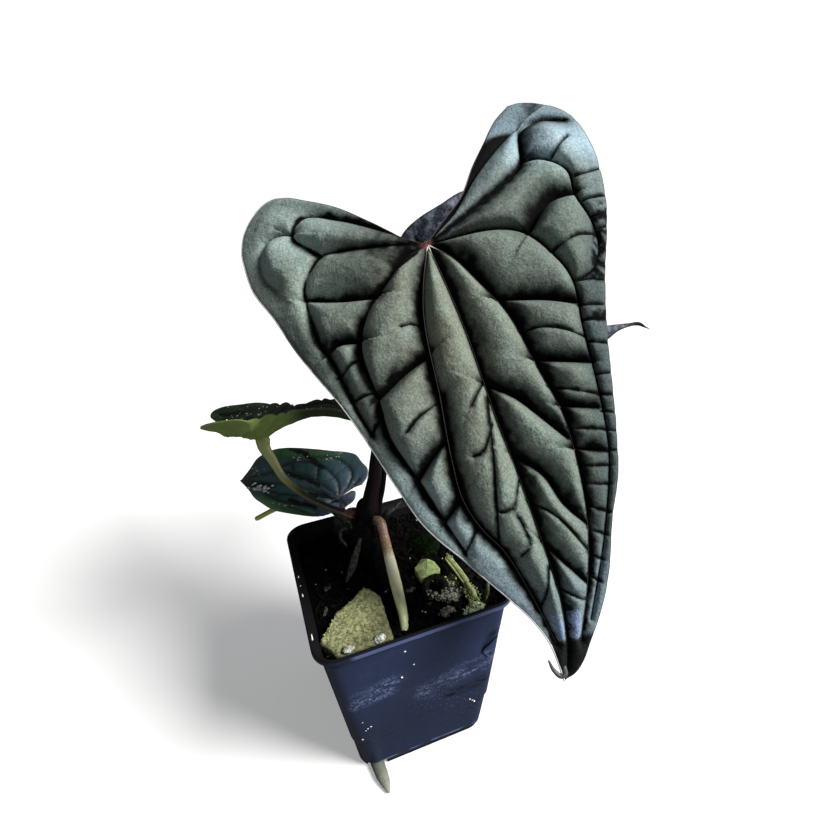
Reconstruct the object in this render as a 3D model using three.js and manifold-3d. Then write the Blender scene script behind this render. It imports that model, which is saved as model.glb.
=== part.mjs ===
// A potted anthurium hybrid: a quilted heart-shaped leaf and three smaller leaves on a short
// stem, rooted in a coarse mix in a square tapered nursery pot.
// Millimetres, +Z up, the origin on the ground at the middle of the pot's foot.
import * as THREE from "three";
import { mergeVertices } from "three/addons/utils/BufferGeometryUtils.js";
import Module from "manifold-3d";

const wasm = await Module();
wasm.setup();

// Pot: a 9 x 9 x 10 cm square nursery pot
const POT_HEIGHT = 100;
const RIM_HALF = 45;
const RIM_CORNER = 10;
const WALL = 1.2;
const LIP_HEIGHT = 3.8;
const BODY_HALF = 42.2;
const BODY_CORNER = 6.5;
const STEP_Z = 27;
const STEP_IN = 0.6;
const STEP_HALF = 36;
const BASE_HALF = 33.6;
const BASE_CORNER = 9;
const FOOT_HEIGHT = 1.8;
const FOOT_HALF = 33.1;
const FLOOR_TOP = 3.4;
const SLOT_WIDTH = 9.5;
const SLOT_FROM = 35;
const SLOT_REACH = 12;
const SLOT_HEIGHT = 4.6;
const SLOT_TURN = 51;

// Mix in the pot
const GAP = 0.3;
const MIX_LEVEL = 91.5;
const MIX_MOUND = 3.5;
const MIX_LUMPS = 70;
const LUMP_HEIGHT = 2.2;

// Blades
const BLADE = 1.0;
const THIN_BLADE = 0.9;
const RIB_DEPTH = 4.2;
const RIB_RISE = 3.2;
const THIN_RIB_DEPTH = 1.3;
const THIN_RIB_RISE = 1.8;
const EDGE_RISE = 1.1;
const VEIN_MERGE = 4;

// Petiole joints, tips and facings of the four blades
const MAIN_LEAF = {
  joint: [33, 18, 239.5],
  tip: [44.1, -80.6, 92],
  facing: [-0.388, -0.78, 0.492],
};
const BACK_LEAF = {
  joint: [61, 52, 207],
  tip: [148, 14, 186],
  facing: [-0.3, -0.75, 0.55],
};
const LEFT_LEAF = {
  joint: [-45.6, 54, 150.8],
  tip: [8.7, 37.8, 151.2],
  facing: [0.1, 0.32, 0.94],
};
const SMALL_LEAF = {
  joint: [-14.6, 40.9, 113.5],
  tip: [-62.1, 71.4, 118.7],
  facing: [-0.14, -0.22, 0.97],
};

// The large leaf in its own plane: distance towards the tip, then to the right
const MAIN_SINUS_LEFT = [
  [0, 0],
  [-5.5, -7.5],
  [-10.5, -12],
  [-21, -21.5],
  [-31.5, -31.5],
  [-44.5, -47],
  [-49, -53],
];
const MAIN_MARGIN_LEFT = [
  [-49, -53],
  [-52.5, -60.5],
  [-52.5, -66.5],
  [-48, -74],
  [-41.5, -79],
  [-32.5, -81.5],
  [-23, -81],
  [-11, -79],
  [6.5, -71],
  [26, -63.5],
  [50.5, -52],
  [69.5, -45],
  [92, -38],
  [106, -33],
  [124, -21.5],
  [139.5, -11.5],
  [151.5, -4.8],
  [163, -1.2],
  [177, -0.4],
];
const MAIN_MARGIN_RIGHT = [
  [177, -0.4],
  [176, 3.5],
  [172, 8],
  [163, 14.5],
  [153, 21],
  [141.5, 27],
  [123, 34],
  [106.5, 41.5],
  [88.5, 46.5],
  [59, 53.5],
  [36.5, 60.5],
  [21, 67],
  [4, 73],
  [-17.5, 76.5],
  [-38.5, 75],
  [-48, 67],
  [-53, 57],
  [-53, 51.5],
];
const MAIN_SINUS_RIGHT = [
  [0, 0],
  [-8.5, 11],
  [-15, 19],
  [-27.5, 28],
  [-36, 35],
  [-46.5, 43.5],
  [-53, 51.5],
];

// Veins of the large leaf from base to tip. On each side a number says how fast the blade
// rises out of the vein: about 1 is a long slope, 3 a steep pillow.
const MAIN_VEINS = [
  {
    name: "midrib", left: 2.6, right: 1,
    path: [
      [1, 0.5], [22.5, 3], [44, 4.5], [69.5, 5], [97.5, 6.5], [126, 7.5], [146, 7.5], [162.5, 5],
      [174, 1.5],
    ],
  },
  {
    name: "left first", left: 1.1, right: 1.1,
    path: [
      [1.5, 0], [18, -6.5], [32, -10], [60, -12.5], [85, -15.5], [100.5, -16], [113, -12.5],
      [123.5, -7], [144, -2], [162.5, 1],
    ],
  },
  {
    name: "right first", left: 2.6, right: 1,
    path: [
      [1, 1], [9, 8], [23, 15], [38.5, 21.5], [61.5, 25.5], [81, 29], [99, 28.5], [121, 25.5],
      [142.5, 19], [164, 10],
    ],
  },
  {
    name: "right second", left: 2, right: 2.6,
    path: [
      [0.5, 2], [2, 15.5], [4.5, 29], [9.5, 38], [22.5, 46], [33, 49], [52.5, 46.5], [76, 44.5],
      [98.5, 41], [126.5, 30.5], [157, 16],
    ],
  },
  {
    name: "left second", left: 1.2, right: 2.2,
    path: [
      [0, -1], [2.5, -9.5], [10, -19], [19.5, -30.5], [32.5, -37], [54.5, -36], [70, -36],
      [89, -30], [107, -25], [120, -21],
    ],
  },
  {
    name: "left third", left: 2, right: 1.2,
    path: [
      [-0.5, -1], [-3.5, -9], [-10.5, -33], [-12.5, -43.5], [-3, -54], [10, -55], [24, -54],
      [35.5, -50], [52, -47], [67, -43],
    ],
  },
  {
    name: "left lobe", left: 1, right: 2,
    path: [
      [-1.5, -2], [-13.5, -16.5], [-25.5, -32], [-34.5, -48], [-28.5, -54.5], [-13, -43.5],
    ],
  },
  {
    name: "right lobe", left: 1, right: 2,
    path: [
      [-0.5, 2], [-8.5, 23], [-20.5, 45.5], [-29, 48.5], [-37.5, 51.5], [-41, 60.5], [-38.5, 71.5],
    ],
  },
  {
    name: "right lobe loop", left: 2, right: 2,
    path: [
      [-21.5, 46], [-20, 54.5], [-11.5, 63], [-1, 62], [11.5, 64.5], [24, 63], [31.5, 57.5],
      [34, 49.5],
    ],
  },
  {
    name: "right lobe fold", left: 1, right: 2,
    path: [
      [-0.5, 1.5], [-8.5, 13.5], [-22, 27], [-33.5, 41.5], [-39, 51],
    ],
  },
];
// Cross veins between them
const MAIN_CROSS_VEINS = [
  [[44.5, -12], [48.5, -23.5], [54.5, -36]],
  [[78, -15.5], [80.5, -20], [89, -30]],
  [[100, -16.5], [107, -25]],
  [[4, -55.5], [11, -38.5], [15, -25]],
  [[30, -51], [28, -45.5], [30, -36.5]],
  [[62, 5], [69.5, 14], [78, 20], [89.5, 27.5]],
  [[91, 7.5], [99.5, 15], [112, 19], [122.5, 25]],
  [[123, 7], [133.5, 13], [143.5, 18.5]],
  [[32, 19], [37.5, 36.5], [42, 46.5]],
  [[58.5, 25], [65.5, 45]],
  [[77.5, 28.5], [82.5, 42]],
  [[94, 28.5], [99, 40.5]],
  [[-1, 62], [0, 50.5], [9.5, 40]],
];

// The three smaller leaves in the same way
const BACK_SINUS_LEFT = [
  [0, 0],
  [-9, -5],
  [-21, -11],
  [-29, -18],
];
const BACK_MARGIN_LEFT = [
  [-29, -18],
  [-33, -25],
  [-29.5, -35],
  [-20, -44],
  [-5, -50],
  [15, -49],
  [36, -41],
  [55, -28.5],
  [66, -19.5],
];
const BACK_MARGIN_RIGHT = [
  [65, -0.5],
  [56, 13],
  [42, 33],
  [24, 49],
  [8, 55.5],
  [-6.5, 51.8],
  [-16.5, 43.4],
  [-25.5, 35.4],
  [-31.5, 27.8],
  [-33, 22.5],
  [-28.5, 17],
];
const BACK_SINUS_RIGHT = [
  [0, 0],
  [-9, 5],
  [-21, 11],
  [-28.5, 17],
];
// The two sides of its drip tip, which swings aside
const BACK_TAIL_LEFT = [
  [66, -19.5],
  [74.5, -12],
  [80, -6],
  [85, -2.6],
  [91.5, 0.2],
  [98, -1],
];
const BACK_TAIL_RIGHT = [
  [65, -0.5],
  [72, -4.6],
  [78, -3],
  [85, -0.4],
  [91.5, 1.6],
  [98, -0.1],
];
const LEFT_SINUS_LEFT = [
  [0, 0],
  [-6, -3.5],
  [-14, -7],
  [-22, -9.5],
];
const LEFT_MARGIN_LEFT = [
  [-22, -9.5],
  [-24.5, -12.5],
  [-21.5, -15.8],
  [-11, -20],
  [-3, -21],
  [5.5, -16],
  [12.5, -10.5],
  [20.5, -7.4],
  [30, -6.6],
  [40.5, -6.4],
  [50, -3.8],
  [56.6, 0],
];
const LEFT_MARGIN_RIGHT = [
  [56.6, 0],
  [51, 4.5],
  [44, 8.5],
  [38, 10.4],
  [33, 10.8],
  [27.5, 9.8],
  [21.5, 8.6],
  [17, 9.6],
  [12.8, 13.5],
  [7, 18],
  [0, 23.6],
  [-7, 25],
  [-16, 23.8],
  [-25, 22],
  [-29, 19],
  [-29.5, 15.5],
  [-26, 12],
];
const LEFT_SINUS_RIGHT = [
  [0, 0],
  [-7, 5],
  [-16, 9],
  [-26, 12],
];
const SMALL_SINUS_LEFT = [
  [0, 0],
  [-4.7, -5.2],
  [-10.5, -8.2],
];
const SMALL_MARGIN_LEFT = [
  [-10.5, -8.2],
  [-12.2, -12.3],
  [-11.5, -16.7],
  [-7.2, -20.1],
  [-2, -24],
  [11.6, -22.9],
  [22.8, -21.7],
  [37, -20],
  [43.6, -18.1],
  [50.8, -12.9],
  [53.1, -6.4],
  [56.2, 0.4],
];
const SMALL_MARGIN_RIGHT = [
  [56.2, 0.4],
  [52, 3.5],
  [46.3, 8.1],
  [39.5, 14],
  [34.3, 16.8],
  [28.2, 19.7],
  [23.3, 20.7],
  [14.7, 20.3],
  [7.6, 18.9],
  [2.7, 15.8],
  [-2.2, 11.4],
  [-5.7, 6.6],
  [-8.2, 3],
  [-6.4, -0.2],
];
const SMALL_SINUS_RIGHT = [
  [0, 0],
  [-3, 0.2],
  [-6.4, -0.2],
];
// Half net of the smaller leaves, as shares of length and half width
const HEART_VEINS = [
  [[0, 0], [0.25, 0.24], [0.5, 0.34], [0.74, 0.26], [0.93, 0.06]],
  [[0, 0], [0.06, 0.34], [0.28, 0.62], [0.54, 0.56], [0.78, 0.2]],
  [[0, 0], [-0.12, 0.36], [-0.08, 0.64], [0.12, 0.84], [0.36, 0.76]],
  [[0, 0], [-0.18, 0.26], [-0.27, 0.46]],
  [[0.25, 0.24], [0.28, 0.62]],
  [[0.5, 0.34], [0.54, 0.56]],
];

// Routes of petioles and roots: points on the centre line
const MAIN_PETIOLE = [
  [-2.9, 19.6, 106], [-2.2, 20, 121], [1, 20, 133.3], [3.2, 20.5, 143.9], [9, 23, 166],
  [18, 26, 196], [27, 28, 222], [36.1, 24.2, 235.6],
];
const BACK_PETIOLE = [
  [1.2, 22.6, 106], [3.1, 24.4, 116], [5.5, 24.9, 124], [8.3, 26, 136.7], [13, 31, 152],
  [21, 42, 167], [32, 53, 179], [49, 61, 191], [62.4, 58.8, 201.6],
];
const LEFT_PETIOLE = [
  [-9, 20, 112.4], [-15, 21.6, 117], [-21.4, 27.4, 118.4], [-29.6, 36, 120.9], [-35.5, 42, 124.9],
  [-40, 46.4, 130.2], [-43.2, 50, 139.4], [-45.8, 52.6, 146.4],
];
const SMALL_PETIOLE = [[-7.5, 23, 104], [-10.5, 29, 106], [-13.4, 36, 107.4], [-14.7, 40.8, 109.8]];
const AERIAL_ROOT = [
  [-2.8, 15, 113.6], [-0.6, 12, 114], [-0.5, 6, 108.2], [-1.6, -6, 102.6], [-2.8, -18, 98.6],
  [-4.2, -30, 95], [-5.6, -35.6, 89.5], [-6, -37.2, 84.4],
];
const SIDE_ROOT = [
  [-9, 23, 97], [-14, 36, 100.8], [-21, 47, 104], [-34, 54.5, 105.6], [-46, 57, 105.2],
  [-57.4, 55.2, 103.4],
];
const DRAIN_ROOT = [
  [-26.2, -30.4, 2.1], [-25.9, -34, 2.1], [-25.4, -38.4, 2], [-24.8, -43, 1.8],
  [-24.6, -47.2, 1.3],
];
const STEM = [
  [-7, 14, 62], [-8, 14.5, 84], [-7.6, 16, 96], [-6.6, 18, 106], [-5.4, 20, 113],
  [-4.6, 20.4, 118],
];
const CATAPHYLL_FRONT = [
  [-11.2, 11, 108.4], [-15.6, 6, 102.6], [-19.4, 2.6, 97.6], [-22.6, 0.4, 94.2],
];
const CATAPHYLL_LEFT = [
  [-13.2, 17.4, 111], [-18.6, 15.4, 113], [-20.4, 12.6, 111], [-18.4, 9.4, 107.4],
];
const CATAPHYLL_RIGHT = [[1.2, 16.6, 112], [4.8, 16, 115.6], [9, 16.6, 117], [13, 18.2, 118.6]];

const FINISH = {
  pot: [0x2c3446, 0.42],
  mix: [0x17140f, 0.95],
  stem: [0x2a1418, 0.55],
  darkPetiole: [0x3b1a20, 0.45],
  greenPetiole: [0x7f8a4e, 0.45],
  velvet: [0x55605c, 0.7],
  backBlade: [0x3c4348, 0.6],
  leftBlade: [0x3d5236, 0.4],
  smallBlade: [0x35564f, 0.35],
  youngRoot: [0xc9c79a, 0.5],
  sideRoot: [0xbfc46a, 0.5],
  drainRoot: [0xa9ada0, 0.6],
  dryScale: [0x6b6357, 0.85],
  paleChunk: [0xb9bd86, 0.9],
  greenChunk: [0xa3b56c, 0.85],
  bark: [0x6f6a60, 0.95],
  stub: [0xb4bf82, 0.7],
  clump: [0x8b917a, 0.95],
  crust: [0xa9ad93, 0.95],
  grain: [0xe6e4dc, 0.8],
  moss: [0x2c3a20, 0.95],
};

const vec = (point) => new THREE.Vector3(...point);

// A repeatable source of random numbers from 0 to 1
function seeded(seed) {
  let state = seed;
  return () => {
    state = (state * 1664525 + 1013904223) % 4294967296;
    return state / 4294967296;
  };
}

// A geometry from points and triangles given by their places in the list
function geometryOf(points, faces) {
  const geometry = new THREE.BufferGeometry();
  const numbers = points.flatMap((p) => [p.x, p.y, p.z]);
  geometry.setAttribute("position", new THREE.Float32BufferAttribute(numbers, 3));
  geometry.setIndex(faces.flat());
  return geometry;
}

// A closed skin over rings of equal count that run from the first cap to the last
function skin(rings) {
  const count = rings[0].length;
  const points = rings.flat();
  const faces = [];
  for (let r = 0; r + 1 < rings.length; r++) {
    for (let i = 0; i < count; i++) {
      const j = (i + 1) % count;
      const a = r * count + i;
      const b = r * count + j;
      faces.push([a, b, b + count], [a, b + count, a + count]);
    }
  }
  const middle = (ring) => ring.reduce((sum, p) => sum.add(p), new THREE.Vector3()).divideScalar(count);
  const first = points.push(middle(rings[0])) - 1;
  const last = points.push(middle(rings[rings.length - 1])) - 1;
  const top = (rings.length - 1) * count;
  for (let i = 0; i < count; i++) {
    const j = (i + 1) % count;
    faces.push([first, j, i], [last, top + i, top + j]);
  }
  return geometryOf(points, faces);
}

// A ring round a square with rounded corners
function squareRing(half, corner, z, steps = 5) {
  const ring = [];
  for (let quarter = 0; quarter < 4; quarter++) {
    for (let i = 0; i <= steps; i++) {
      const angle = (quarter + i / steps) * (Math.PI / 2);
      const cx = (half - corner) * (quarter === 0 || quarter === 3 ? 1 : -1);
      const cy = (half - corner) * (quarter < 2 ? 1 : -1);
      ring.push(new THREE.Vector3(cx + corner * Math.cos(angle), cy + corner * Math.sin(angle), z));
    }
  }
  return ring;
}

// A tapered round stalk along a smooth curve; radii are given from start to end
function stalk(route, radii, sides = 8, steps = 14, squash = 1) {
  const curve = new THREE.CatmullRomCurve3(route.map(vec), false, "centripetal");
  const frames = curve.computeFrenetFrames(steps, false);
  const rings = [];
  for (let s = 0; s <= steps; s++) {
    const at = (s / steps) * (radii.length - 1);
    const k = Math.min(Math.floor(at), radii.length - 2);
    const radius = THREE.MathUtils.lerp(radii[k], radii[k + 1], at - k);
    const centre = curve.getPointAt(s / steps);
    const ring = [];
    for (let i = 0; i < sides; i++) {
      const angle = (i / sides) * Math.PI * 2;
      ring.push(
        centre
          .clone()
          .addScaledVector(frames.normals[s], radius * Math.cos(angle))
          .addScaledVector(frames.binormals[s], radius * squash * Math.sin(angle)),
      );
    }
    rings.push(ring);
  }
  return skin(rings);
}

// Solids for joining and cutting
function solidOf(geometry) {
  const bare = geometry.clone();
  bare.deleteAttribute("normal");
  bare.deleteAttribute("uv");
  const merged = mergeVertices(bare, 1e-4);
  return new wasm.Manifold(
    new wasm.Mesh({
      numProp: 3,
      vertProperties: new Float32Array(merged.attributes.position.array),
      triVerts: new Uint32Array(merged.index.array),
    }),
  );
}

function geometryOfSolid(solid) {
  const mesh = solid.getMesh();
  const geometry = new THREE.BufferGeometry();
  geometry.setAttribute("position", new THREE.BufferAttribute(mesh.vertProperties, 3));
  geometry.setIndex(new THREE.BufferAttribute(mesh.triVerts, 1));
  return geometry;
}

const cut = (geometry, ...tools) =>
  geometryOfSolid(tools.reduce((left, tool) => left.subtract(solidOf(tool)), solidOf(geometry)));
const join = (...geometries) =>
  geometryOfSolid(geometries.map(solidOf).reduce((sum, piece) => sum.add(piece)));

// The same shape grown by the running gap on every side
function grown(geometry, gap = GAP) {
  const copy = geometry.clone();
  copy.computeBoundingBox();
  const size = copy.boundingBox.getSize(new THREE.Vector3());
  const middle = copy.boundingBox.getCenter(new THREE.Vector3());
  copy.translate(-middle.x, -middle.y, -middle.z);
  copy.scale(1 + (2 * gap) / size.x, 1 + (2 * gap) / size.y, 1 + (2 * gap) / size.z);
  return copy.translate(middle.x, middle.y, middle.z);
}

// Distance from a point to a vein, stretched by the rise on the side where the point lies
function stretchedDistance(u, v, vein) {
  let best = Infinity;
  let rise = 1;
  for (let i = 0; i + 1 < vein.path.length; i++) {
    const [au, av] = vein.path[i];
    const du = vein.path[i + 1][0] - au;
    const dv = vein.path[i + 1][1] - av;
    const share = THREE.MathUtils.clamp(((u - au) * du + (v - av) * dv) / (du * du + dv * dv), 0, 1);
    const distance = Math.hypot(u - au - share * du, v - av - share * dv);
    if (distance < best) {
      best = distance;
      rise = du * (v - av) - dv * (u - au) < 0 ? vein.left : vein.right;
    }
  }
  return best * rise;
}

// How high a blade stands out of its net of veins at a point
function pillow(u, v, veins, depth, reach) {
  const nearness = (vein) => Math.max(stretchedDistance(u, v, vein), 1e-3) ** -VEIN_MERGE;
  const sum = veins.reduce((total, vein) => total + nearness(vein), 0);
  return depth * (1 - Math.exp(-(sum ** (-1 / VEIN_MERGE)) / reach));
}

// Points evenly spaced along a smooth line through a list of flat points
function evenly(points, count) {
  const places = points.map(([u, v]) => new THREE.Vector3(u, v, 0));
  const curve = new THREE.CatmullRomCurve3(places, false, "centripetal");
  return Array.from({ length: count + 1 }, (_, i) => curve.getPointAt(i / count));
}

// A blade as one closed solid. Rays fan out from the petiole joint to the margin, the first
// and last along the sinus, and both faces are split into the same triangles. A tail, if the
// blade has one, is a ladder of rungs between its two sides, on from the end of the fan.
function blade({ sinusLeft, marginLeft, marginRight, sinusRight, tail, ...make }) {
  const { rows, columns, height, thickness } = make;
  const leftEdge = evenly(sinusLeft, rows);
  const rightEdge = evenly(sinusRight, rows);
  const [leftSide, rightSide] = [evenly(marginLeft, columns / 2), evenly(marginRight, columns / 2)];
  const across = tail ? tail.across : 0;
  const chord = (k) => leftSide[columns / 2].clone().lerp(rightSide[0], k / across);
  const between = Array.from({ length: Math.max(across - 1, 0) }, (_, k) => chord(k + 1));
  const margin = [...leftSide, ...between, ...rightSide.slice(tail ? 0 : 1)];
  const last = margin.length - 1;
  const joint = leftEdge[0];
  const bow = (edge, r) => edge[r].clone().sub(joint.clone().lerp(edge[rows], r / rows));
  const flat = [joint];
  for (let r = 1; r <= rows; r++) {
    for (let c = 0; c <= last; c++) {
      const point = joint.clone().lerp(margin[c], r / rows);
      const nearLeft = c < last / 2 ? Math.exp(-c / (columns * 0.06)) : 0;
      const nearRight = c > last / 2 ? Math.exp(-(last - c) / (columns * 0.06)) : 0;
      point.addScaledVector(bow(leftEdge, r), nearLeft).addScaledVector(bow(rightEdge, r), nearRight);
      flat.push(point);
    }
  }
  const at = (r, c) => (r === 0 ? 0 : 1 + (r - 1) * (last + 1) + c);
  const fan = flat.length;
  const rungs = tail ? tail.rungs : 0;
  if (tail) {
    const [left, right] = [evenly(tail.left, rungs), evenly(tail.right, rungs)];
    for (let j = 1; j <= rungs; j++) {
      for (let k = 0; k <= across; k++) flat.push(left[j].clone().lerp(right[j], k / across));
    }
  }
  const onTail = (j, k) => (j === 0 ? at(rows, columns / 2 + k) : fan + (j - 1) * (across + 1) + k);
  const upper = flat.map((p) => new THREE.Vector3(p.x, p.y, height(p.x, p.y)));
  const lower = upper.map((p) => new THREE.Vector3(p.x, p.y, p.z - thickness));
  const faces = [];
  const below = upper.length;
  const wall = (a, b) => faces.push([a, a + below, b + below], [a, b + below, b]);
  const bothFaces = ([i, j, k]) => faces.push([i, j, k], [below + i, below + k, below + j]);
  for (let c = 0; c < last; c++) {
    bothFaces([0, at(1, c), at(1, c + 1)]);
    for (let r = 1; r < rows; r++) {
      const [a, b, d, e] = [at(r, c), at(r, c + 1), at(r + 1, c), at(r + 1, c + 1)];
      const halves = c < last / 2 ? [[a, d, e], [a, e, b]] : [[a, d, b], [b, d, e]];
      halves.forEach(bothFaces);
    }
    if (c < columns / 2 || c >= columns / 2 + across) wall(at(rows, c), at(rows, c + 1));
  }
  for (let j = 0; j < rungs; j++) {
    for (let k = 0; k < across; k++) {
      const [a, b] = [onTail(j, k), onTail(j, k + 1)];
      const [d, e] = [onTail(j + 1, k), onTail(j + 1, k + 1)];
      [[a, d, e], [a, e, b]].forEach(bothFaces);
      if (j === rungs - 1) wall(d, e);
    }
    wall(onTail(j, 0), onTail(j + 1, 0));
    wall(onTail(j + 1, across), onTail(j, across));
  }
  for (let r = 0; r < rows; r++) {
    wall(at(r, 0), at(r + 1, 0));
    wall(at(r + 1, last), at(r, last));
  }
  return geometryOf([...upper, ...lower], faces);
}

// The turn and place of a blade: x from joint to tip, y to its right, z out of its face
function bladeFrame({ joint, tip, facing }) {
  const along = vec(tip).sub(vec(joint)).normalize();
  const out = vec(facing).addScaledVector(along, -vec(facing).dot(along)).normalize();
  const across = new THREE.Vector3().crossVectors(out, along);
  return new THREE.Matrix4().makeBasis(along, across, out).setPosition(vec(joint));
}

const bladeLength = ({ joint, tip }) => vec(tip).distanceTo(vec(joint));

// The route of a petiole, ended square against its blade, a drop under the joint
function toBlade(route, leaf, drop) {
  const end = new THREE.Vector3(0, 0, -drop).applyMatrix4(bladeFrame(leaf));
  return [...route, end.toArray()];
}

// A smaller leaf: its outline, its half widths, a fold along the midrib and an arch
function plainBlade(leaf, { outline, tail, left, right, lobes = 1, fold, arch, lobeRise, ...grid }) {
  const length = bladeLength(leaf);
  const scaled = (list, side) => list.map(([u, v]) => [u * length * (u < 0 ? lobes : 1), v * side]);
  const veins = [{ left: 1, right: 1, path: [[0, 0], [length * 0.97, 0]] }];
  for (const side of [-left, right]) {
    HEART_VEINS.forEach((path) => veins.push({ left: 1, right: 1, path: scaled(path, side) }));
  }
  const height = (u, v) => {
    const bend = u > 0 ? 4 * arch * (u / length) * (1 - u / length) : lobeRise * (-u / length);
    return bend + fold * (Math.hypot(v, 3) - 3) + pillow(u, v, veins, THIN_RIB_DEPTH, THIN_RIB_RISE);
  };
  const [sinusLeft, marginLeft, marginRight, sinusRight] = outline;
  const edges = { sinusLeft, marginLeft, marginRight, sinusRight, tail };
  return blade({ ...edges, ...grid, height, thickness: THIN_BLADE });
}

// Height of the large leaf out of its plane: an arch to the tip, sides and lobes leaning back
function mainHeight(u, v) {
  const length = bladeLength(MAIN_LEAF);
  const arch = 9;
  const lean = 9;
  const slope = (4 * arch * u) / length;
  const bend = u > 0 ? slope * (1 - u / length) : slope - arch * (u / 60) ** 2;
  return bend - lean * (v / 70) ** 2 + pillow(u, v, mainNet, RIB_DEPTH, RIB_RISE);
}

const mainEdge = [
  ...MAIN_SINUS_LEFT,
  ...MAIN_MARGIN_LEFT,
  ...MAIN_MARGIN_RIGHT,
  ...MAIN_SINUS_RIGHT.toReversed(),
];
const mainNet = [
  ...MAIN_VEINS,
  ...MAIN_CROSS_VEINS.map((path) => ({ left: 1.6, right: 1.6, path })),
  { left: EDGE_RISE, right: EDGE_RISE, path: mainEdge },
];

// The tiny hook at the drip tip
function tipHook() {
  const seat = mainHeight(177, -0.4) - BLADE / 2;
  const inner = THREE.MathUtils.lerp(seat, mainHeight(169, -0.4) - BLADE / 2, 0.5);
  const route = [
    [172.4, 1, inner],
    [174.8, 0.6, seat],
    [175.2, -1.2, seat],
    [172.4, -3.1, seat],
    [168.6, -3.8, seat + 0.4],
  ];
  return stalk(route, [0.9, 1.1, 0.9, 0.7, 0.4], 6, 8);
}

// Half width of the pot's body between the step and the lip
const halfAt = (z) => THREE.MathUtils.mapLinear(z, STEP_Z, POT_HEIGHT - LIP_HEIGHT, STEP_HALF, BODY_HALF);

// The pot: a tapered body with a wide lip, a step low down, a foot and drain slots by the corners
function potShell() {
  const lipFoot = POT_HEIGHT - LIP_HEIGHT;
  const outer = skin([
    squareRing(FOOT_HALF, BASE_CORNER, 0),
    squareRing(FOOT_HALF, BASE_CORNER, FOOT_HEIGHT),
    squareRing(BASE_HALF, BASE_CORNER, FOOT_HEIGHT + 0.3),
    squareRing(STEP_HALF - STEP_IN, BODY_CORNER, STEP_Z - 0.8),
    squareRing(STEP_HALF, BODY_CORNER, STEP_Z + 0.4),
    squareRing(BODY_HALF, BODY_CORNER, lipFoot),
    squareRing(RIM_HALF - 0.3, RIM_CORNER, lipFoot + 0.3),
    squareRing(RIM_HALF, RIM_CORNER, POT_HEIGHT - 0.4),
    squareRing(RIM_HALF - 0.3, RIM_CORNER, POT_HEIGHT),
  ]);
  const inner = skin([
    squareRing(BASE_HALF - WALL, BASE_CORNER - WALL, FLOOR_TOP),
    squareRing(STEP_HALF - STEP_IN - WALL, BODY_CORNER - WALL, STEP_Z),
    squareRing(BODY_HALF - WALL, BODY_CORNER - WALL, lipFoot),
    squareRing(RIM_HALF - WALL - 0.3, RIM_CORNER - WALL, lipFoot + WALL),
    squareRing(RIM_HALF - WALL, RIM_CORNER - WALL, POT_HEIGHT + 1),
  ]);
  const slots = [0, 90, 180, 270].map((turn) =>
    new THREE.BoxGeometry(SLOT_REACH, SLOT_WIDTH, SLOT_HEIGHT * 2)
      .translate(SLOT_FROM + SLOT_REACH / 2, 0, 0)
      .rotateZ(THREE.MathUtils.degToRad(turn + SLOT_TURN)),
  );
  return cut(outer, inner, ...slots);
}

// Height of the mix: a low mound with lumps, from one seeded draw
const lumps = (() => {
  const draw = seeded(11);
  return Array.from({ length: MIX_LUMPS }, () => ({
    x: (draw() - 0.5) * 84,
    y: (draw() - 0.5) * 84,
    width: 3 + draw() * 4,
    height: (draw() - 0.35) * LUMP_HEIGHT,
  }));
})();

function mixHeight(x, y) {
  const mound = MIX_MOUND * Math.exp(-(((x + 6) / 30) ** 2) - ((y - 12) / 30) ** 2);
  const fall = (l) => Math.exp(-((x - l.x) ** 2 + (y - l.y) ** 2) / l.width ** 2);
  const rough = lumps.reduce((sum, l) => sum + l.height * fall(l), 0);
  return MIX_LEVEL + mound + rough;
}

function mixBody() {
  const edge = halfAt(MIX_LEVEL) - WALL - GAP - 0.2;
  const top = [1, 0.9, 0.78, 0.64, 0.5, 0.36, 0.22, 0.1].map((share) =>
    squareRing(edge * share, BODY_CORNER * share, 0, 7).map((p) => p.setZ(mixHeight(p.x, p.y))),
  );
  return skin([
    squareRing(BASE_HALF - WALL - GAP - 0.2, BASE_CORNER, FLOOR_TOP + GAP, 7),
    squareRing(STEP_HALF - STEP_IN - WALL - GAP, BODY_CORNER, STEP_Z, 7),
    ...top,
  ]);
}

// A broken lump: a seeded rough ball, stretched and set down
function lump({ size, at, turn = 0, tilt = 0, seed, detail = 1, rough = 0.16 }) {
  const draw = seeded(seed);
  const ball = mergeVertices(stripped(new THREE.IcosahedronGeometry(0.5, detail)), 1e-4);
  const place = ball.attributes.position;
  for (let i = 0; i < place.count; i++) {
    const stretch = 1 + (draw() - 0.5) * 2 * rough;
    place.setXYZ(i, place.getX(i) * stretch, place.getY(i) * stretch, place.getZ(i) * stretch);
  }
  return ball.scale(...size).rotateX(tilt).rotateZ(turn).translate(...at);
}

function stripped(geometry) {
  geometry.deleteAttribute("normal");
  geometry.deleteAttribute("uv");
  return geometry;
}

// A slab with a drawn outline, for the pale chunk: a low block with a domed, broken top
function slab(outline, low, high, dome) {
  const middle = new THREE.Vector3();
  outline.forEach(([x, y]) => middle.add(vec([x / outline.length, y / outline.length, 0])));
  const ring = (share, z) =>
    outline.map(([x, y, lift = 0], i) => {
      const wobble = 1 + 0.02 * Math.sin(i * 2.3 + share * 9);
      return new THREE.Vector3(
        middle.x + (x - middle.x) * share * wobble,
        middle.y + (y - middle.y) * share * wobble,
        z + lift * (z > low + 1 ? 1 : 0),
      );
    });
  return skin([
    ring(0.86, low),
    ring(1, low + 2),
    ring(1, high - 1.2),
    ring(0.9, high + dome * 0.4),
    ring(0.5, high + dome),
  ]);
}

// A dry scale: a thin curled strip that tapers to a point
function scale(route, widths) {
  return stalk(route, widths, 6, 8, 0.35);
}

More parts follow.
